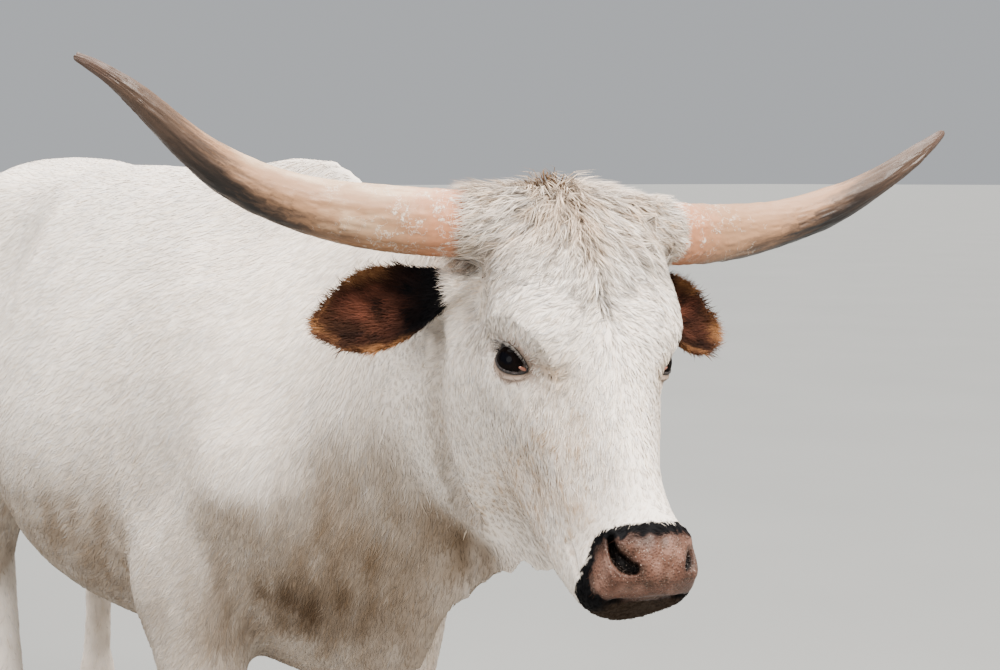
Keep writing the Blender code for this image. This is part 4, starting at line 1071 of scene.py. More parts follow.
    def corner(self, side: int, name: str) -> Piece:
        """The pink flesh in the inner corner of the eye."""
        flesh = sphere(name, 1.0, 20, 12)
        local = points_of(flesh.data) * np.array((0.0066, 0.0021, 0.0010))
        centre, slit, up, out = eye_frame(side)
        reach = self.inner_reach * 0.84
        at = centre + (EYE_RADIUS + 0.0004) * (math.cos(reach) * out + math.sin(reach) * slit)
        outward = unit(math.cos(reach) * out + math.sin(reach) * slit)
        along = unit(slit - outward * (slit @ outward))
        head = at + local[:, :1] * along + local[:, 1:2] * up + local[:, 2:] * outward
        put_points(flesh.data, moved(head, HEAD_MATRIX))
        face_outwards(flesh)
        return flesh

    def lashes(self, side: int, name: str) -> Piece:
        """Curved lashes along the upper lid."""
        random = np.random.default_rng(31)
        centre, slit, up, _ = eye_frame(side)
        parts, faces = [], []
        for angle in np.linspace(math.radians(12), math.radians(188), self.lash_count):
            angle += random.uniform(-0.03, 0.03)
            root = self.edge(side, EYE_RADIUS + 0.0024, np.array([angle]))[0]
            away = unit(root - centre)
            spread = unit(away * 0.9 + up * 0.20 - slit * 0.55 * math.cos(angle - 2.2))
            outer = 0.5 - 0.5 * math.cos(angle)
            share = 0.35 + 0.65 * math.sin(max(angle - 0.25, 0.05)) * outer**0.5
            length = self.lash_length * random.uniform(0.6, 1.05) * share
            droop = -up * 0.85 - slit * 0.30
            line = [root + spread * length * t + droop * length * t * t * 0.9 for t in (0, 0.35, 0.7, 1.0)]
            start = sum(len(p) for p in parts)
            rings = []
            for point, radius in zip(line, (0.00048, 0.00042, 0.00026, 0.00005)):
                spin = np.array([0, 2.094, 4.189])[:, None]
                rings.append(point + radius * (np.cos(spin) * slit + np.sin(spin) * up))
            parts.append(np.vstack(rings))
            faces += blade_faces(start, 4)
        made = mesh_piece(name, moved(np.vstack(parts), HEAD_MATRIX), faces)
        face_outwards(made)
        return made


@dataclass(frozen=True)
class Press:
    """A crease along a line in the head's frame, or a ridge where the depth is negative."""

    line: tuple
    width: float
    depth: float
    both: bool = True


@dataclass
class Skin:
    """One closed skin over the flesh: fine on the head and ears, coarser behind, with no seam between."""

    head_voxel: float = 0.0041
    body_voxel: float = 0.0130
    join_at: float = -0.770
    join_gap: float = 0.010
    swell: float = 0.0009
    shrinking: float = 0.50
    swelling: float = -0.53
    hollow: Array = field(default_factory=lambda: np.zeros(1))
    flesh: tuple = (
        "torso", "neck", "head", "foreleg_left", "foreleg_right", "hindleg_left", "hindleg_right",
        "ear_left", "ear_right",
    )
    front: tuple = ("neck", "head", "ear_left", "ear_right")
    presses: tuple = (
        Press(MOUTH_LINE, 0.0050, 0.0060),
        Press(UPPER_FOLD, 0.0044, 0.0062),
        Press(LOWER_FOLD, 0.0050, 0.0026),
        Press(CORNER_FOLD, 0.0046, 0.0034),
        Press(CORNER_FOLD_ABOVE, 0.0042, 0.0022),
        Press(JAW_GROOVE, 0.0135, 0.0165),
        Press(CORNER_FOLD_BELOW, 0.0045, 0.0014),
        Press(NASAL_RIDGE, 0.014, -0.0018),
        Press(NOSE_FURROW, 0.006, 0.0020, both=False),
    )

    def build(self, eyes: Eyes) -> Piece:
        """Makes the skin, with its lids, nostrils, lips and folds, and unwraps it.

        Args:
            eyes: the eyes that the lids fit.

        Returns:
            The skin.
        """
        front = self.fused("skin_front", self.front, self.head_voxel, True)
        back = self.fused("skin_back", self.flesh, self.body_voxel, False)
        self.relax(front, 22, self.front_share)
        self.relax(back, 26, self.back_share)
        self.cut(front, self.join_at - self.join_gap, keep_front=True)
        self.cut(back, self.join_at + self.join_gap, keep_front=False)
        skin = self.bridged(front, back)
        self.relax(skin, 8, self.join_share)
        self.settle_in(skin)
        self.relax(skin, 24, self.throat_share)
        self.refine(skin)
        self.detail(skin, eyes)
        self.unwrap(skin)
        skin.name = "skin"
        skin.data.shade_smooth()
        points, normals = points_of(skin.data), normals_of(skin.data)
        markings = Markings()
        h = moved(points, TO_HEAD)
        # Painted shade on the skin under the poll's hair.
        painted_shade_under_hair = ease(h[:, 2], -0.16, -0.06) * (np.linalg.norm(h, axis=1) < 0.16)
        # The nostrils darkened: painted shade inside them, and a darker rim round them.
        colours = markings.colour(points, normals) * (1 - 0.97 * self.hollow)[:, None]
        colours *= (1 - 0.35 * painted_shade_under_hair)[:, None]
        colour_mesh(skin, colours)
        keep_values(skin.data, "moist", markings.wet(points))
        skin.data.materials.append(HideFinish().material())
        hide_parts(*self.flesh, "tail")
        return skin

    def fused(self, name: str, nodes: Sequence[str], voxel: float, plugs: bool) -> Piece:
        """Copies of the nodes, grown by a hair's breadth and fused into one surface."""
        parts = []
        for node in nodes:
            part = merged_copy(node, f"{name}_{node}")
            put_points(part.data, points_of(part.data) + normals_of(part.data) * self.swell)
            parts.append(part)
        if plugs:
            parts += self.plugs()
        else:
            line = curve_through(TAIL_LINE, 5) + np.array(SHIFT)
            radii = np.interp(np.linspace(0, 1, len(line)), np.linspace(0, 1, len(TAIL_RADII)), TAIL_RADII)
            parts.append(tube("tail_dock", line, radii, 20))
        only(*parts)
        bpy.ops.object.join()
        made = bpy.context.active_object
        made.name = name
        remesh = made.modifiers.new("fuse", "REMESH")
        remesh.mode = "VOXEL"
        remesh.voxel_size = voxel
        apply_all(made)
        return made

    def plugs(self) -> list[Piece]:
        """Fillings for the eye sockets and the nostrils, which are shaped again later."""
        places = [(EYE_CENTRE * (s, 1, 1), EYE_RADIUS + 0.0020) for s in SIDES.values()]
        for s in SIDES.values():
            for at in curve_through(NOSTRIL_LINE, 3):
                places.append(((at + np.array((-0.008, 0.0095, 0.002))) * (s, 1, 1), 0.0115))
        return [sphere("plug", radius, 20, 14, HEAD_MATRIX @ Vector(at)) for at, radius in places]

    def relax(self, piece: Piece, rounds: int, share: Callable[[Array], Array]) -> None:
        """Taubin smoothing, weighted by where each vertex is.

        Args:
            piece: the mesh object.
            rounds: how many pairs of passes.
            share: gives each vertex's weight.
        """
        mesh = piece.data
        edges = np.empty(len(mesh.edges) * 2, np.int32)
        mesh.edges.foreach_get("vertices", edges)
        first, second = edges.reshape(-1, 2).T
        points = points_of(mesh)
        weight = share(points)[:, None]
        ends, others = np.r_[first, second], np.r_[second, first]
        count = np.maximum(np.bincount(ends, minlength=len(points)), 1)[:, None]
        for step in range(rounds * 2):
            total = np.column_stack(
                [np.bincount(ends, points[others, axis], len(points)) for axis in range(3)]
            )
            points += (total / count - points) * weight * (self.swelling if step % 2 else self.shrinking)
        put_points(mesh, points)

    def front_share(self, points: Array) -> Array:
        """Full smoothing on the head and neck, and less on the ears and at the nose."""
        h = moved(points, TO_HEAD)
        ear, _, _ = Markings().ear(h)
        return 1 - 0.72 * ear - 0.35 * ease(-h[:, 2], 0.40, 0.44)

    def back_share(self, points: Array) -> Array:
        """Full smoothing on the trunk, and less down the legs and tail."""
        legs = 1 - ease(points[:, 2], 0.50, 0.72)
        tail = ease(points[:, 1], 1.02, 1.06) * ease(points[:, 2], 0.55, 0.60)
        return np.clip(1 - 0.80 * legs - 0.85 * tail, 0.12, 1)

    def join_share(self, points: Array) -> Array:
        """Smoothing only where the two halves meet."""
        return 1 - ease(np.abs(points[:, 1] - self.join_at), 0.02, 0.06)

    def throat_share(self, points: Array) -> Array:
        """Smoothing only along the lower edge of the throat and brisket."""
        low = (1 - ease(points[:, 2], 0.97, 1.04)) * by_middle(points, 0.05, 0.09)
        return low * (1 - ease(points[:, 1], -0.50, -0.30)) * ease(points[:, 1], -1.06, -1.02)

    def cut(self, piece: Piece, at: float, keep_front: bool) -> None:
        """Bisects the piece across the neck."""
        only(piece)
        bpy.ops.object.mode_set(mode="EDIT")
        bpy.ops.mesh.select_all(action="SELECT")
        bpy.ops.mesh.bisect(
            plane_co=(0.0, at, 0.0), plane_no=(0.0, 1.0, 0.0),
            clear_outer=keep_front, clear_inner=not keep_front,
        )
        bpy.ops.object.mode_set(mode="OBJECT")

    def bridged(self, front: Piece, back: Piece) -> Piece:
        """Joins the halves with a band of faces between their open edges."""
        only(front, back)
        bpy.ops.object.join()
        skin = bpy.context.active_object
        with editing(skin.data) as work:
            open_edges = [edge for edge in work.edges if len(edge.link_faces) == 1]
            bmesh.ops.bridge_loops(work, edges=open_edges)
            bmesh.ops.recalc_face_normals(work, faces=work.faces)
        return skin

    def depth(self, points: Array) -> Array:
        """How far the skin lies inside the solids, to leave room for the coat."""
        h = moved(points, TO_HEAD)
        ear, _, _ = Markings().ear(h)
        crown = ease(h[:, 2], -0.20, -0.06) * (1 - ease(np.abs(h[:, 0]), 0.11, 0.15))
        crown = crown * (1 - ease(h[:, 1], 0.09, 0.14))
        face = 0.0026 + 0.0052 * crown - 0.0021 * ease(-h[:, 2], 0.38, 0.42) - 0.0019 * ear
        on_head = close_to(h, HEAD_MIDDLE, 0.27, 0.38)
        trunk = 0.0046 - 0.0024 * (1 - ease(points[:, 2], 0.35, 0.65))
        low = 1 - ease(points[:, 2], 0.93, 1.00)
        fold = by_middle(points, 0.020, 0.055) * low
        trunk = trunk - 0.0040 * fold * (1 - ease(points[:, 1], -0.55, -0.35))
        thin = by_middle(points, 0.015, 0.040) * low
        thin = thin * (1 - ease(points[:, 1], -0.60, -0.50)) * ease(h[:, 2], -0.46, -0.40)
        return (face * on_head + trunk * (1 - on_head)) * (1 - 0.9 * thin) + self.swell

    def settle_in(self, skin: Piece) -> None:
        """Moves the skin inwards by the coat's depth."""
        points = points_of(skin.data)
        put_points(skin.data, points - normals_of(skin.data) * self.depth(points)[:, None])

    def refine(self, skin: Piece) -> None:
        """Splits the faces at the eyes twice and those of the muzzle once."""
        for turn in range(2):
            h = moved(points_of(skin.data), TO_HEAD)
            close = Markings().eye_distance(h) < (0.042, 0.037)[turn]
            if turn == 0:
                close |= (h[:, 2] < -0.385) & (np.linalg.norm(h - np.array((0, 0.05, -0.44)), axis=1) < 0.12)
            else:
                for side in SIDES.values():
                    away, _ = distance_to_line(h, curve_through(NOSTRIL_LINE, 6) * (side, 1, 1))
                    close |= away < 0.020
            with editing(skin.data) as work:
                chosen = [e for e in work.edges if close[e.verts[0].index] and close[e.verts[1].index]]
                bmesh.ops.subdivide_edges(work, edges=chosen, cuts=1, use_grid_fill=True)

    def nostril_reach(self, h: Array) -> Array:
        """How far each head-frame point is from the middle of a nostril, in half-widths of its slit."""
        reach = np.full(len(h), 9.0)
        near = np.nonzero((h[:, 2] < -0.40) & (h[:, 1] < 0.05))[0]
        if not len(near):
            return reach
        line = curve_through(NOSTRIL_LINE, 10)
        widths = np.interp(np.linspace(0, 1, len(line)), (0, 0.3, 0.7, 1), (0.0036, 0.0052, 0.0078, 0.0058))
        for side in SIDES.values():
            _, nearest = distance_to_line(line * (side, 1, 1), h[near])
            path = h[near][nearest]
            away, which = distance_to_line(h[near], path)
            reach[near] = np.minimum(reach[near], away / widths[which])
        return reach

    def detail(self, skin: Piece, eyes: Eyes) -> None:
        """Presses the folds and the mouth, opens the nostrils and shapes the lids."""
        points = points_of(skin.data)
        normals = normals_of(skin.data)
        h = moved(points, TO_HEAD)
        near = np.nonzero(np.linalg.norm(h - np.array((0, 0.05, -0.25)), axis=1) < 0.36)[0]
        push = np.zeros(len(points))
        for press in self.presses:
            path = curve_through(press.line, 12)
            for side in SIDES.values() if press.both else (1,):
                away, _ = distance_to_line(h[near], path * (side, 1, 1))
                push[near] -= (1 - ease(away, 0.0, press.width * 1.6)) * press.depth
        push *= 1 - (1 - ease(np.abs(h[:, 0]), 0.030, 0.060)) * ease(h[:, 1], 0.20, 0.24)
        reach = self.nostril_reach(h)
        depth = 1 - ease(reach, 0.45, 1.45)
        outer = ease(np.abs(h[:, 0]), 0.036, 0.050)
        push += (0.0010 + 0.0022 * outer) * bell(reach - 2.2, 0.95)
        points += normals * push[:, None]
        inward = np.column_stack([-0.50 * np.sign(h[:, 0]), np.full(len(h), 0.80), np.full(len(h), 0.25)])
        points += turned(unit(inward), HEAD_MATRIX) * (depth * 0.0150)[:, None]
        points = eyes.carve(points)
        put_points(skin.data, points)
        # hollow: painted shade inside the nostrils, with a darker rim round them.
        self.hollow = np.maximum(ease(depth, 0.04, 0.42), 0.52 * (1 - ease(reach, 1.0, 3.4)))

    def unwrap(self, skin: Piece) -> None:
        """Unwraps the skin's own shape."""
        only(skin)
        skin.data.uv_layers.new(name=UNWRAP)
        bpy.ops.object.mode_set(mode="EDIT")
        bpy.ops.mesh.select_all(action="SELECT")
        bpy.ops.uv.smart_project(angle_limit=math.radians(66), island_margin=0.002)
        bpy.ops.object.mode_set(mode="OBJECT")


@dataclass
class Ground:
    """What hair grows from: the skin's triangles, with their normals and places on its unwrap."""

    corners: Array
    normals: Array
    uvs: Array
    areas: Array
    tree: BVHTree

    @classmethod
    def of(cls, skin: Piece) -> "Ground":
        """Reads a skin."""
        mesh = skin.data
        mesh.calc_loop_triangles()
        count = len(mesh.loop_triangles)
        loops, verts = np.empty(count * 3, np.int32), np.empty(count * 3, np.int32)
        mesh.loop_triangles.foreach_get("loops", loops)
        mesh.loop_triangles.foreach_get("vertices", verts)
        uv = np.empty(len(mesh.loops) * 2, np.float32)
        mesh.uv_layers[UNWRAP].data.foreach_get("uv", uv)
        points, normals = points_of(mesh), normals_of(mesh)
        corners = points[verts].reshape(-1, 3, 3)
        first, second, third = corners.transpose(1, 0, 2)
        areas = np.linalg.norm(np.cross(second - first, third - first), axis=1) / 2
        tree = tree_of([mesh, *(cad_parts[f"horn_{side}"].data for side in SIDES)])
        uvs = uv.reshape(-1, 2)[loops].reshape(-1, 3, 2)
        return cls(corners, normals[verts].reshape(-1, 3, 3), uvs, areas, tree)

    def scatter(self, count: int, density: Density, seed: int) -> tuple[Array, Array, Array]:
        """Picks places at random.

        Args:
            count: how many places.
            density: how likely each triangle's middle is, from its place and normal.
            seed: the random seed.

        Returns:
            The places, the normals there and the places on the unwrap.
        """
        random = np.random.default_rng(seed)
        middles, facing = self.corners.mean(1), unit(self.normals.mean(1))
        weight = self.areas * density(middles, facing)
        total = np.cumsum(weight)
        picks = np.searchsorted(total, (np.arange(count) + random.random(count)) / count * total[-1])
        picks = np.minimum(picks, len(self.areas) - 1)
        a, b = random.random(count), random.random(count)
        fold = a + b > 1
        a[fold], b[fold] = 1 - a[fold], 1 - b[fold]
        shares = np.column_stack([1 - a - b, a, b])[:, :, None]
        return (
            (self.corners[picks] * shares).sum(1),
            unit((self.normals[picks] * shares).sum(1)),
            (self.uvs[picks] * shares).sum(1),
        )

    def settle(self, points: Array, lift: Array, upward: Array) -> tuple[Array, Array]:
        """Puts points back at a height over the skin.

        Args:
            points: places near the skin.
            lift: the height of each.
            upward: the normal at each one's root, kept where the skin turns away under the hair.

        Returns:
            The places and the normals there.
        """
        made, normals = points.copy(), upward.copy()
        for i, point in enumerate(points):
            place, normal, _, gap = self.tree.find_nearest(point)
            if gap < 0.05:
                made[i] = place
                if normal @ Vector(upward[i]) > 0.25:
                    normals[i] = normal
        return made + normals * lift[:, None], normals


@dataclass
class Tufts:
    """Tufts of hair to build: one row each of roots, normals, unwrap places, directions and sizes."""

    COLUMNS = ("roots", "normals", "uvs", "lie", "length", "width", "lift", "colour")
    FACES = ((0, 2, 1), (0, 1, 4, 3), (1, 2, 5, 4), (2, 0, 3, 5), (3, 4, 6), (4, 5, 6), (5, 3, 6))
    UNDER = (False, True, False, False, True, False, False)
    PATCH = ((-1, -1), (1, -1), (0, -0.4), (-1, 0.4), (1, 0.4), (0, 0.7), (0, 1))
    SHADE = (0, 0, 0.2, 0.75, 0.75, 0.9, 1.2)
    POINTS = len(PATCH)

    roots: Array
    normals: Array
    uvs: Array
    lie: Array
    length: Array
    width: Array
    lift: Array
    colour: Array
    seed: int = 0
    curl: float = 0.12
    # root_shade and gap_shade: painted shade at the tufts' roots and between the locks.
    root_shade: float = 0.88
    thickness: float = 0.18
    round: float = 0.28
    lock_tone: float = 0.07
    gap_shade: float | Array = 0.16
    sunk: float = 0.0012

    def gathered(self, every: int, pull: float) -> "Tufts":
        """Draws the tips together into locks.

        Args:
            every: how many tufts share a lock.
            pull: how far each tip goes towards its lock's tip, from 0 to 1.

        Returns:
            These tufts.
        """
        leaders = np.arange(0, len(self.roots), every)
        tree = KDTree(len(leaders))
        for number, leader in enumerate(leaders):
            tree.insert(self.roots[leader], number)
        tree.balance()
        chosen = leaders[[tree.find(root)[1] for root in self.roots]]
        tips = self.roots + self.lie * self.length[:, None]
        reach = tips + (tips[chosen] - tips) * pull - self.roots
        random = np.random.default_rng(self.seed + 7)
        tone = np.clip(1 + random.normal(0, self.lock_tone, len(self.roots)), 0.6, 1.3)[chosen]
        # Each lock has a random tone of its own; painted shade darkens the tufts at a lock's edge, in the
        # gaps between locks.
        away = np.linalg.norm(self.roots - self.roots[chosen], axis=1)
        edge = ease(away / (np.percentile(away, 90) + 1e-9), 0.35, 1.0)
        shade = tone * (1 - self.gap_shade * edge)
        self.colour = np.clip(self.colour * shade[:, None], DARKEST, LIGHTEST)
        self.length = np.linalg.norm(reach, axis=1)
        self.lie = unit(reach)
        return self

    def build(self, name: str, ground: Ground, finish: Material, follow: bool = True) -> Piece:
        """Builds every tuft as a closed three-sided blade that bends along its lie.

        Args:
            name: the piece's name.
            ground: the skin that the tufts lie on.
            finish: the coat's material.
            follow: whether the blades follow the skin.

        Returns:
            The coat piece.
        """
        random = np.random.default_rng(self.seed)
        count = len(self.roots)
        outward = (self.lie * self.normals).sum(1, keepdims=True)
        lie = self.lie - self.normals * outward
        steep = 1 - ease(np.linalg.norm(lie, axis=1, keepdims=True), 0.35, 0.80)
        lie = unit(lie + self.normals * np.maximum(outward, 0) * steep)
        side = unit(np.cross(self.normals, lie))
        sway = random.normal(0, self.curl, count)[:, None]
        middle = self.roots + (lie + side * sway * 0.35) * (self.length * 0.5)[:, None]
        tip = self.roots + (lie + side * sway) * self.length[:, None]
        if follow:
            middle, up_middle = ground.settle(middle, self.lift, self.normals)
            tip, up_tip = ground.settle(tip, self.lift * 1.35, up_middle)
        else:
            up_middle = up_tip = self.normals
            middle = middle + self.normals * self.lift[:, None]
            tip = tip + self.normals * (self.lift * 1.6)[:, None]
        half, thick = self.width / 2, self.width * self.thickness
        base = self.roots - self.normals * self.sunk
        points = np.empty((count, self.POINTS, 3))
        points[:, 0] = base - side * half[:, None] * 0.85
        points[:, 1] = base + side * half[:, None] * 0.85
        points[:, 2] = base + self.normals * (thick + self.sunk)[:, None]
        points[:, 3] = middle - side * half[:, None]
        points[:, 4] = middle + side * half[:, None]
        points[:, 5] = middle + up_middle * thick[:, None]
        points[:, 6] = tip
        upper, lower = np.empty_like(points), np.empty_like(points)
        ups = (self.normals,) * 3 + (up_middle,) * 3 + (up_tip,)
        for k, (up, lean) in enumerate(zip(ups, (-1, 1, 0, -1, 1, 0, 0))):
            aside = side * (self.round * lean)
            upper[:, k] = unit(up + aside)
            lower[:, k] = unit(aside - up)
        return self._mesh(name, points, upper, lower, finish)

    def _mesh(self, name: str, points: Array, upper: Array, lower: Array, finish: Material) -> Piece:
        """Makes the mesh of all the blades, with its unwrap and colours."""
        count = len(points)
        sizes = np.tile([len(face) for face in self.FACES], count)
        corner = np.concatenate([np.array(face) for face in self.FACES])
        below = np.concatenate([np.full(len(face), low) for face, low in zip(self.FACES, self.UNDER)])
        loops = (corner[None] + self.POINTS * np.arange(count)[:, None]).ravel()
        mesh = bpy.data.meshes.new(name)
        mesh.vertices.add(count * self.POINTS)
        mesh.vertices.foreach_set("co", points.astype(np.float32).ravel())
        mesh.loops.add(len(loops))
        mesh.loops.foreach_set("vertex_index", loops.astype(np.int32))
        mesh.polygons.add(len(sizes))
        mesh.polygons.foreach_set("loop_start", np.r_[0, np.cumsum(sizes)[:-1]].astype(np.int32))
        mesh.update(calc_edges=True)
        patch = np.array(self.PATCH) * 0.0015
        uv = (self.uvs[:, None] + patch[None]).reshape(-1, 2)[loops]
        layer = mesh.uv_layers.new(name=UNWRAP)
        layer.data.foreach_set("uv", uv.astype(np.float32).ravel())
        piece = added(name, mesh)
        colours = np.repeat(self.colour[:, None], self.POINTS, 1)
        # Painted shade towards each tuft's root, and a slightly lighter tip.
        colours *= (self.root_shade + (1 - self.root_shade) * np.array(self.SHADE))[None, :, None]
        colour_mesh(piece, np.clip(colours.reshape(-1, 3), 0, LIGHTEST))
        mesh.shade_smooth()
        normals = np.where(below[None, :, None], lower[:, corner], upper[:, corner])
        mesh.normals_split_custom_set(normals.reshape(-1, 3).tolist())
        mesh.materials.append(finish)
        return piece


@dataclass(frozen=True)
class TrunkHair:
    """The hair of one region behind the head: its tufts' number, seed, sizes in metres and spread of tone."""

    count: int
    seed: int
    length: float
    width: float
    lift: float
    spread: float = 0.06


TRUNK_HAIR = {
    "neck": TrunkHair(34000, 61, 0.0270, 0.0018, 0.0007, 0.085),
    "body": TrunkHair(37000, 71, 0.0340, 0.0032, 0.0009),
    "legs": TrunkHair(7000, 81, 0.0140, 0.0026, 0.0009),
}


@dataclass
class Coat:
    """All the hair that stands out of the skin, in pieces that stay under the limit on triangles."""

    per_piece: int = 18500
    face_tufts: int = 42000
    poll_tufts: int = 18500
    ear_tufts: int = 11500
    markings: Markings = field(default_factory=Markings)

    def lie(self, points: Array) -> Array:
        """Which way the hair lies at each place."""
        h = moved(points, TO_HEAD)
        across = h[:, 0] - PARTING * ease(h[:, 2], -0.30, -0.15)
        side = np.where(across < 0, -1.0, 1.0)
        x, z = np.abs(across), h[:, 2]
        above = ease(z, WHORL_HEIGHT - 0.01, WHORL_HEIGHT + 0.04)
        top = np.column_stack([side * (0.12 + 9.0 * x), 0.25 + 2.0 * np.maximum(z, 0), -0.62 + 3.4 * x])
        ring = unit(np.column_stack([across * 1.5 + side * 0.012, np.zeros(len(h)), z - WHORL_HEIGHT - 0.02]))
        face = unit(top) * above[:, None] + ring * (1 - above)[:, None]
        cheek = ease(x, 0.055, 0.10)[:, None] * (1 - 0.85 * above)[:, None]
        face = face * (1 - cheek) + np.array((0.0, 0.62, -0.62)) * cheek
        muzzle = ease(-z, 0.37, 0.42)[:, None]
        face = face * (1 - muzzle) + mirrored(across) * (0.5, 0.5, -0.55) * muzzle
        face = turned(unit(face), HEAD_MATRIX)
        on_head = close_to(h, HEAD_MIDDLE, 0.25, 0.36)[:, None]
        neck = 1 - ease(points[:, 1], -0.75, -0.25)
        low = 1 - ease(points[:, 2], 0.45, 0.75)
        trunk = np.column_stack([
            0.10 * value_noise(points, 0.15, 21),
            0.85 - 0.42 * neck - 0.62 * low,
            -0.55 - 0.35 * neck - 0.30 * low,
        ])
        return face * on_head + unit(trunk) * (1 - on_head)

    def region(self, points: Array) -> dict[str, Array]:
        """How much each place belongs to each region."""
        h = moved(points, TO_HEAD)
        head = close_to(h, (0, 0.06, -0.22), 0.28, 0.34)
        x, y, z = np.abs(h[:, 0]), h[:, 1], h[:, 2]
        ear, _, _ = self.markings.ear(h)
        poll = ease(z + 0.05 * bell(h[:, 0] - PARTING, 0.030) - 0.85 * np.maximum(y, 0), -0.145, -0.085)
        poll = poll * (1 - ease(x, 0.128, 0.150)) * (1 - ease(y, 0.085, 0.12)) * head
        bare = np.maximum(self.markings.pad(h), 1 - ease(self.markings.eye_distance(h), 0.0240, 0.0250))
        neck = (1 - head) * (1 - ease(points[:, 1], -0.42, -0.20)) * ease(points[:, 2], 0.52, 0.62)
        legs = 1 - ease(points[:, 2], 0.55, 0.70)
        return {"head": head * (1 - ear), "ear": ear, "poll": poll, "bare": bare, "neck": neck, "legs": legs}

    def colours(self, points: Array, normals: Array, seed: int, spread: float = 0.10) -> Array:
        """Each tuft's colour: the skin's colour there, painted shade included, a little lighter or darker."""
        random = np.random.default_rng(seed)
        tone = np.clip(1 + random.normal(0, spread, len(points)), 0.72, 1.22)
        warm = random.normal(0, 0.02, len(points))
        colour = self.markings.colour(points, normals) * tone[:, None]
        tint = np.column_stack([1 + warm, np.ones_like(warm), 1 - 1.6 * warm])
        return np.clip(colour * tint, DARKEST, LIGHTEST)

    def build(self, skin: Piece) -> list[Piece]:
        """Grows every part of the coat on the skin."""
        finish = CoatFinish().material()
        ground = Ground.of(skin)
        share = 1.0
        made: list[Piece] = []
        for name, tufts, follow in self.parts(ground, share):
            pieces = max(1, math.ceil(len(tufts.roots) / self.per_piece))
            order = np.argsort(tufts.roots[:, 1] + 0.3 * tufts.roots[:, 0], kind="stable")
            for number, rows in enumerate(np.array_split(order, pieces)):
                taken = {column: getattr(tufts, column)[rows] for column in Tufts.COLUMNS}
                part = replace(tufts, seed=tufts.seed + number, **taken)
                title = name if pieces == 1 else f"{name}_{number + 1}"
                made.append(part.build(title, ground, finish, follow))
                LOG.info("%s: %d tufts", title, len(rows))
        return made

    def parts(self, ground: Ground, share: float) -> list[tuple[str, Tufts, bool]]:
        """The coat's parts before they are built."""
        return [
            ("coat_face", self.face(ground, int(self.face_tufts * share)), True),
            ("coat_poll", self.poll(ground, int(self.poll_tufts * share)), True),
            *((f"coat_{place}", self.trunk(ground, share, place), True) for place in TRUNK_HAIR),
            ("coat_ears", self.ears(ground, int(self.ear_tufts * share)), False),
        ]

    def ear_root(self, h: Array) -> Array:
        """How near each head-frame point is to the root of an ear."""
        return close_to(folded(h), EAR_ROOT, 0.028, 0.046)

    def underneath(self, points: Array, normals: Array) -> Array:
        """How much each place is on the lower edge of the throat, chest or belly."""
        return by_middle(points, 0.018, 0.040) * ease(-normals[:, 2], 0.2, 0.6)

    def face(self, ground: Ground, count: int) -> Tufts:
        """Short hair of the face, finest at the muzzle and the eyes."""

        def density(points: Array, normals: Array) -> Array:
            """Thick on the head, thicker at the ears' roots, and none where bare."""
            r = self.region(points)
            at_ear = self.ear_root(moved(points, TO_HEAD))
            under = self.underneath(points, normals) * (points[:, 1] > -1.02)
            hairy = (1 - 0.97 * under) * r["head"] * (1 - r["bare"])
            return hairy * (1 - 0.6 * r["poll"]) * (1 + 2.5 * at_ear) + 1e-9

        roots, normals, uvs = ground.scatter(count, density, 41)
        h = moved(roots, TO_HEAD)
        at_ear = self.ear_root(h)
        random = np.random.default_rng(42)
        muzzle = ease(-h[:, 2], 0.33, 0.41)
        eye = 1 - ease(self.markings.eye_distance(h), 0.030, 0.055)
        small = np.maximum(np.maximum(muzzle, 0.8 * eye), 0.55 * ease(h[:, 1], 0.10, 0.16))
        length = (0.0130 - 0.0070 * small + 0.0080 * at_ear) * random.uniform(0.7, 1.2, count)
        length *= 0.55 + 0.45 * ease(self.markings.eye_distance(h), 0.0250, 0.0310)
        width = (0.00130 - 0.0005 * small) * random.uniform(0.75, 1.25, count)
        lift = (0.0012 - 0.0006 * small) * random.uniform(0.4, 1.5, count)
        wander = turned(np.column_stack([value_noise(roots, 0.016, k) for k in (45, 46, 47)]), HEAD_MATRIX)
        towards_ear = turned(EAR_AXIS * mirrored(h[:, 0]), HEAD_MATRIX) * (2.2 * at_ear)[:, None]
        lie = unit(self.lie(roots) + towards_ear + 0.28 * wander * (1 - small)[:, None])
        front = ease(h[:, 2], -0.30, -0.20) * (1 - ease(h[:, 1], 0.03, 0.09))
        return Tufts(
            roots, normals, uvs, lie, length, width, lift, self.colours(roots, normals, 43, 0.09), seed=44,
            curl=0.18, root_shade=0.74, gap_shade=0.08 + 0.34 * front,
        ).gathered(9, 0.55)

    def poll(self, ground: Ground, count: int) -> Tufts:
        """Longer hair of the crown, combed out both ways from the middle."""

        def density(points: Array, _: Array) -> Array:
            """Thick on the poll alone."""
            return self.region(points)["poll"] + 1e-9

        roots, normals, uvs = ground.scatter(count, density, 51)
        h = moved(roots, TO_HEAD)
        random = np.random.default_rng(52)
        crown = ease(h[:, 2], -0.14, -0.02)
        ridge = bell(h[:, 0] - PARTING, 0.012)
        length = (0.024 + 0.014 * crown + 0.006 * ridge) * random.uniform(0.7, 1.15, count)
        width = 0.00105 * random.uniform(0.7, 1.3, count)
        middle = 1 - 0.6 * ease(np.abs(h[:, 0] - PARTING), 0.04, 0.11)
        top = ease(h[:, 2], -0.035, 0.005) * middle
        lift = 0.0020 + 0.0032 * crown * middle + 0.0035 * ridge + (0.0055 + 0.0060 * ridge) * top
        lift = lift * random.uniform(0.25, 1.35, count)
        wander = turned(np.column_stack([value_noise(roots, 0.03, k) for k in (53, 54, 55)]), HEAD_MATRIX)
        lie = unit(self.lie(roots) + 0.30 * wander)
        return Tufts(
            roots, normals, uvs, lie, length, width, lift, self.colours(roots, normals, 56, 0.12), seed=57,
            curl=0.20, root_shade=0.34, lock_tone=0.11, gap_shade=0.50,
        ).gathered(16, 0.62)

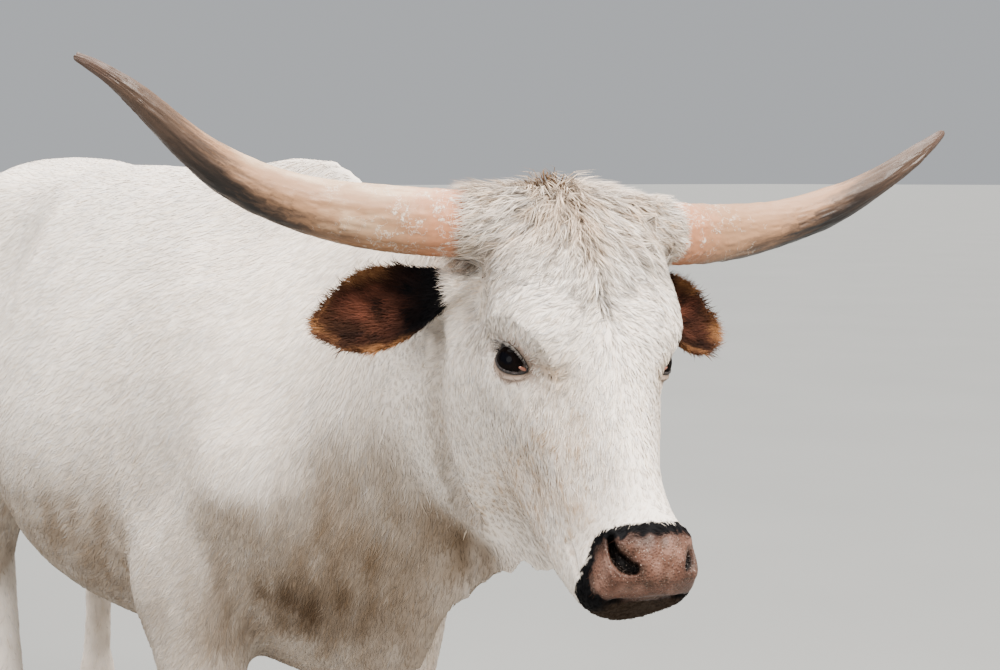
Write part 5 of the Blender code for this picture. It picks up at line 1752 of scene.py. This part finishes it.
    def trunk(self, ground: Ground, share: float, place: str) -> Tufts:
        """Hair of the neck, the body or the legs."""

        def density(points: Array, normals: Array) -> Array:
            """Thick in the hair's own region, thicker on the side that the photo shows."""
            r = self.region(points)
            under = self.underneath(points, normals)
            rest = (1 - r["head"]) * (1 - r["ear"]) * (1 - 0.92 * under * (points[:, 1] < -0.5))
            if place in r:
                return rest * r[place] + 1e-9
            return rest * (1 - r["neck"]) * (1 - r["legs"]) * (1 + 0.8 * (normals[:, 0] < 0)) + 1e-9

        hair = TRUNK_HAIR[place]
        count = int(hair.count * share)
        roots, normals, uvs = ground.scatter(count, density, hair.seed)
        random = np.random.default_rng(hair.seed + 1)
        low = 1 - ease(roots[:, 2], 0.10, 0.30)
        edge = by_middle(roots, 0.03, 0.06) * ease(-normals[:, 2], 0.1, 0.6)
        length = hair.length * random.uniform(0.7, 1.2, count) * (1 - 0.35 * low) * (1 - 0.5 * edge)
        width = hair.width * random.uniform(0.7, 1.3, count) * (1 - 0.3 * low)
        lift = hair.lift * random.uniform(0.5, 1.3, count)
        colour = self.colours(roots, normals, hair.seed + 2, hair.spread)
        return Tufts(
            roots, normals, uvs, self.lie(roots), length, width, lift, colour, seed=hair.seed + 3,
            curl=0.15, root_shade=0.90, thickness=0.10, round=0.16, lock_tone=0.06, gap_shade=0.08,
        ).gathered(6, 0.30)

    def ears(self, ground: Ground, count: int) -> Tufts:
        """Hair in, on and round the edge of the ears."""

        def density(points: Array, _: Array) -> Array:
            """Thick on the ears, thickest along their edges."""
            ear, along, aside = self.markings.ear(moved(points, TO_HEAD))
            rim = ease(np.abs(aside), 0.75, 0.95) + ease(along, 0.85, 1.0)
            return ear * (1 + 2.5 * np.clip(rim, 0, 1)) + 1e-9

        roots, normals, uvs = ground.scatter(count, density, 91)
        h, hn = moved(roots, TO_HEAD), turned(normals, TO_HEAD)
        _, along, aside = self.markings.ear(h)
        inside = self.markings.ear_inside(h, hn)
        random = np.random.default_rng(92)
        out = unit(EAR_AXIS + EAR_ACROSS * (aside * 0.9)[:, None])
        rim = np.clip(ease(np.abs(aside), 0.80, 0.98) + ease(along, 0.88, 1.0), 0, 1)
        out = (out + EAR_OPENS * (inside * 0.35 * (1 - rim))[:, None]) * mirrored(h[:, 0])
        start = 1 - ease(along, 0.0, 0.25)
        length = (0.0085 + 0.0075 * rim + 0.0075 * inside * (1 - rim)) * random.uniform(0.6, 1.25, count)
        length *= 1 - 0.35 * start
        width = (0.0009 - 0.0003 * rim) * random.uniform(0.7, 1.3, count)
        lift = (0.0010 + 0.0020 * inside * (1 - rim)) * random.uniform(0.4, 1.5, count)
        colour = self.colours(roots, normals, 93, 0.22)
        lie = turned(out, HEAD_MATRIX)
        return Tufts(roots, normals, uvs, lie, length, width, lift, colour, seed=94, curl=0.30)


@dataclass
class TailSwitch:
    """Long wavy locks at the end of the tail."""

    locks: int = 260
    length: float = 0.330
    roots_over: float = 0.17
    width: float = 0.0050

    def build(self, finish: Material) -> Piece:
        """Makes the switch as joined locks, each a closed bent blade."""
        random = np.random.default_rng(101)
        line = curve_through(TAIL_LINE, 12) + np.array(SHIFT)
        end = line[-1]
        stations = np.array((0.0, 0.2, 0.45, 0.7, 0.88, 1.0))
        widths = np.array((0.6, 1.0, 1.0, 0.8, 0.5, 0.05))
        per_lock = 3 * len(stations)
        points, faces, uvs, colours = [], [], [], []
        for index in range(self.locks):
            angle = random.uniform(0, 2 * math.pi)
            high = self.roots_over * random.random() ** 1.3
            nearest = line[np.abs(line[:, 2] - (end[2] + high)).argmin()]
            out = np.array((math.cos(angle), math.sin(angle), 0.0))
            length = self.length * random.uniform(0.72, 1.0) + 0.3 * (self.roots_over - high) * 0.2
            spread = random.uniform(0.004, 0.034)
            wave = random.uniform(0, 2 * math.pi)
            swell = spread * np.sin(np.minimum(stations * 2.4, 2.6))
            drift = 0.004 * np.sin(stations * 9 + wave)
            across = np.array((-out[1], out[0], 0.0))
            fall = np.array((-0.10, -0.01, -1.0)) * (length * stations)[:, None]
            middle = nearest + out * (0.009 + swell)[:, None] + fall + across * drift[:, None]
            wide = self.width * random.uniform(0.6, 1.3) * widths
            start = len(points) * per_lock
            half = across * wide[:, None] / 2
            ring = np.stack([middle - half, middle + half, middle + out * wide[:, None] * 0.35], axis=1)
            points.append(ring.reshape(-1, 3))
            faces += blade_faces(start, len(stations))
            tone = random.uniform(0.75, 1.1)
            shade = np.array(Palette().white) * (1 - 0.5 * random.random()) + np.array(Palette().tan) * 0.35
            colours.append(np.tile(np.clip(shade * tone, 0, 0.9), (per_lock, 1)))
            uvs.append((index / self.locks, 0.5))
        piece = mesh_piece("tail_switch", np.vstack(points), faces)
        face_outwards(piece)
        colour_mesh(piece, np.vstack(colours))
        layer = piece.data.uv_layers.new(name=UNWRAP)
        verts = np.empty(len(piece.data.loops), np.int32)
        piece.data.loops.foreach_get("vertex_index", verts)
        patch = np.array([(k % 3 * 0.001, k // 3 * 0.0005) for k in range(per_lock)])
        uv = np.array(uvs)[verts // per_lock] * np.array((0.9, 1.0)) + 0.02 + patch[verts % per_lock]
        layer.data.foreach_set("uv", uv.astype(np.float32).ravel())
        piece.data.shade_smooth()
        piece.data.materials.append(finish)
        return piece


@dataclass
class Horn:
    """One horn, smooth and fine over its CAD node, with ridges, scales and a worn tip."""

    side: str
    dark_from: float
    dark_full: float
    warmth: float
    stations: int = 300

    def build(self) -> Piece:
        """Makes the horn and dresses it."""
        node = f"horn_{self.side}"
        horn = merged_copy(node, f"longhorn_{self.side}")
        smooth = horn.modifiers.new("smooth", "SUBSURF")
        smooth.levels = smooth.render_levels = 3
        apply_all(horn)
        points, normals = points_of(horn.data), normals_of(horn.data)
        reach = SIDES[self.side] * points[:, 0]
        steps = np.linspace(reach.min(), reach.max(), 34)
        centres = np.array([points[np.abs(reach - s) < 0.010].mean(0) for s in steps])
        length = np.r_[0, np.cumsum(np.linalg.norm(np.diff(centres, axis=0), axis=1))]
        stations = np.linspace(0, length[-1], self.stations)
        fine = np.column_stack([np.interp(stations, length, centres[:, k]) for k in range(3)])
        _, which = distance_to_line(points, fine)
        along = which / (self.stations - 1)
        radial = unit(points - fine[which])
        under = -radial[:, 2]
        grain = np.column_stack([along * length[-1] * 0.16, radial[:, 0] * 0.03, radial[:, 2] * 0.03])
        grain[:, 1] += radial[:, 1] * 0.02
        ridges = value_noise(grain * 30, 0.10, 7) * 0.0007 + value_noise(grain * 30, 0.30, 8) * 0.0012
        rings = np.sin(along * length[-1] / 0.0105 * 2 * math.pi + 2 * value_noise(points, 0.02, 3))
        rings *= (1 - ease(along, 0.10, 0.30)) * 0.00045
        scales = value_noise(points, 0.006, 14) * 0.0007 * (1 - ease(along, 0.03, 0.16))
        fade = 1 - ease(along, 0.90, 1.0) * 0.5
        put_points(horn.data, points + normals * ((ridges + rings + scales - 0.0006) * fade)[:, None])
        for title, values in (("along", along), ("under", under), ("grain_place", grain)):
            keep_values(horn.data, title, values)
        horn.data.shade_smooth()
        title = f"horn_{self.side}_finish"
        horn.data.materials.append(HornFinish().material(title, self.dark_from, self.dark_full, self.warmth))
        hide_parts(node)
        return horn


@dataclass
class Hooves:
    """The eight claws, with rounded edges and worn horn."""

    bevel: float = 0.0035

    def build(self) -> list[Piece]:
        """Makes every claw and dresses it."""
        finish = PlainFinish(
            "hoof", (0.105, 0.085, 0.068), (0.210, 0.165, 0.125), roughness=0.62, scale=60.0, bump=0.0012
        ).material()
        made = []
        for limb in ("fore", "hind"):
            for side in SIDES:
                for place in ("inner", "outer"):
                    node = f"claw_{limb}_{side}_{place}"
                    claw = merged_copy(node, f"hoof_{limb}_{side}_{place}")
                    edges = claw.modifiers.new("edges", "BEVEL")
                    edges.width = self.bevel
                    edges.segments = 3
                    edges.limit_method = "ANGLE"
                    edges.angle_limit = math.radians(50)
                    apply_all(claw)
                    claw.data.shade_smooth()
                    claw.data.materials.append(finish)
                    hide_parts(node)
                    made.append(claw)
        return made


@dataclass
class Studio:
    """The floor, the light and the camera."""

    camera_at: tuple = (-1.014, -2.638, 1.362)
    azimuth: float = math.radians(-34.6)
    pitch: float = math.radians(6.13)
    lens: float = 52.2
    sky_power: float = 12.5
    sky_angle: float = math.radians(80)
    sky_turn: tuple = (math.radians(-8), math.radians(4), 0.0)

    def build(self) -> None:
        """Lays the floor, hangs the lights and sets up the camera."""
        self.floor()
        self.camera()
        world = bpy.data.worlds.new("studio")
        bpy.context.scene.world = world
        world.use_nodes = True
        background = world.node_tree.nodes["Background"].inputs
        background["Color"].default_value = (0.93, 0.96, 1.0, 1.0)
        background["Strength"].default_value = 0.52
        self.sky()
        self.light("key", (0.4, -4.6, 4.4), (-0.1, -0.8, 1.0), 2.4, 760.0, (1.0, 0.965, 0.91))
        self.light("fill", (-4.4, -1.6, 2.4), (-0.2, -0.4, 1.0), 2.6, 150.0, (1.0, 0.985, 0.96))

    def floor(self) -> None:
        """A wide pale floor."""
        only_nothing()
        bpy.ops.mesh.primitive_plane_add(size=600.0, location=(0.0, 0.0, -0.0006))
        floor = bpy.context.active_object
        floor.name = "studio_floor"
        shader = Shader("studio_floor")
        dust = shader.noise(0.8, 3.0)
        shader.set(Base_Color=shader.mix(dust, (0.155, 0.155, 0.148), (0.180, 0.180, 0.172)), Roughness=0.9)
        floor.data.materials.append(shader.material)

    def sky(self) -> None:
        """Broad light from above, as under cloud."""
        data = bpy.data.lights.new("sky", "SUN")
        data.energy = self.sky_power
        data.angle = self.sky_angle
        data.color = (1.0, 0.985, 0.96)
        added("sky", data).rotation_euler = self.sky_turn

    def light(self, name: str, at: tuple, to: tuple, size: float, power: float, colour: tuple) -> None:
        """One soft round light."""
        data = bpy.data.lights.new(name, "AREA")
        data.shape = "DISK"
        data.size = size
        data.energy = power
        data.color = colour
        lamp = added(name, data)
        lamp.location = at
        lamp.rotation_euler = (Vector(to) - Vector(at)).to_track_quat("-Z", "Y").to_euler()

    def camera(self) -> None:
        """The camera, where the photograph was taken from."""
        data = bpy.data.cameras.new("camera")
        data.lens = self.lens
        data.sensor_width = 36.0
        camera = added("camera", data)
        camera.location = Vector(self.camera_at) + SHIFT
        a, p = self.azimuth, self.pitch
        view = Vector((-math.sin(a) * math.cos(p), math.cos(a) * math.cos(p), -math.sin(p)))
        camera.rotation_euler = view.to_track_quat("-Z", "Y").to_euler()
        bpy.context.scene.camera = camera


def main() -> None:
    """Builds the animal and its studio, and reports each piece."""
    logging.basicConfig(level=logging.INFO, format="%(name)s: %(message)s")
    Studio().build()
    eyes = Eyes()
    skin = Skin().build(eyes)
    pieces = [skin]
    LOG.info("skin: %d faces", len(skin.data.polygons))
    pieces += eyes.build()
    pieces += Coat().build(skin)
    pieces.append(TailSwitch().build(CoatFinish().material()))
    pieces += [Horn("right", 0.60, 0.84, 0.05).build(), Horn("left", 0.50, 0.76, 0.30).build()]
    pieces += Hooves().build()
    for piece in pieces:
        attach(piece, BODY)
        LOG.info("%s: %d faces", piece.name, len(piece.data.polygons))


if __name__ == "__main__":
    main()
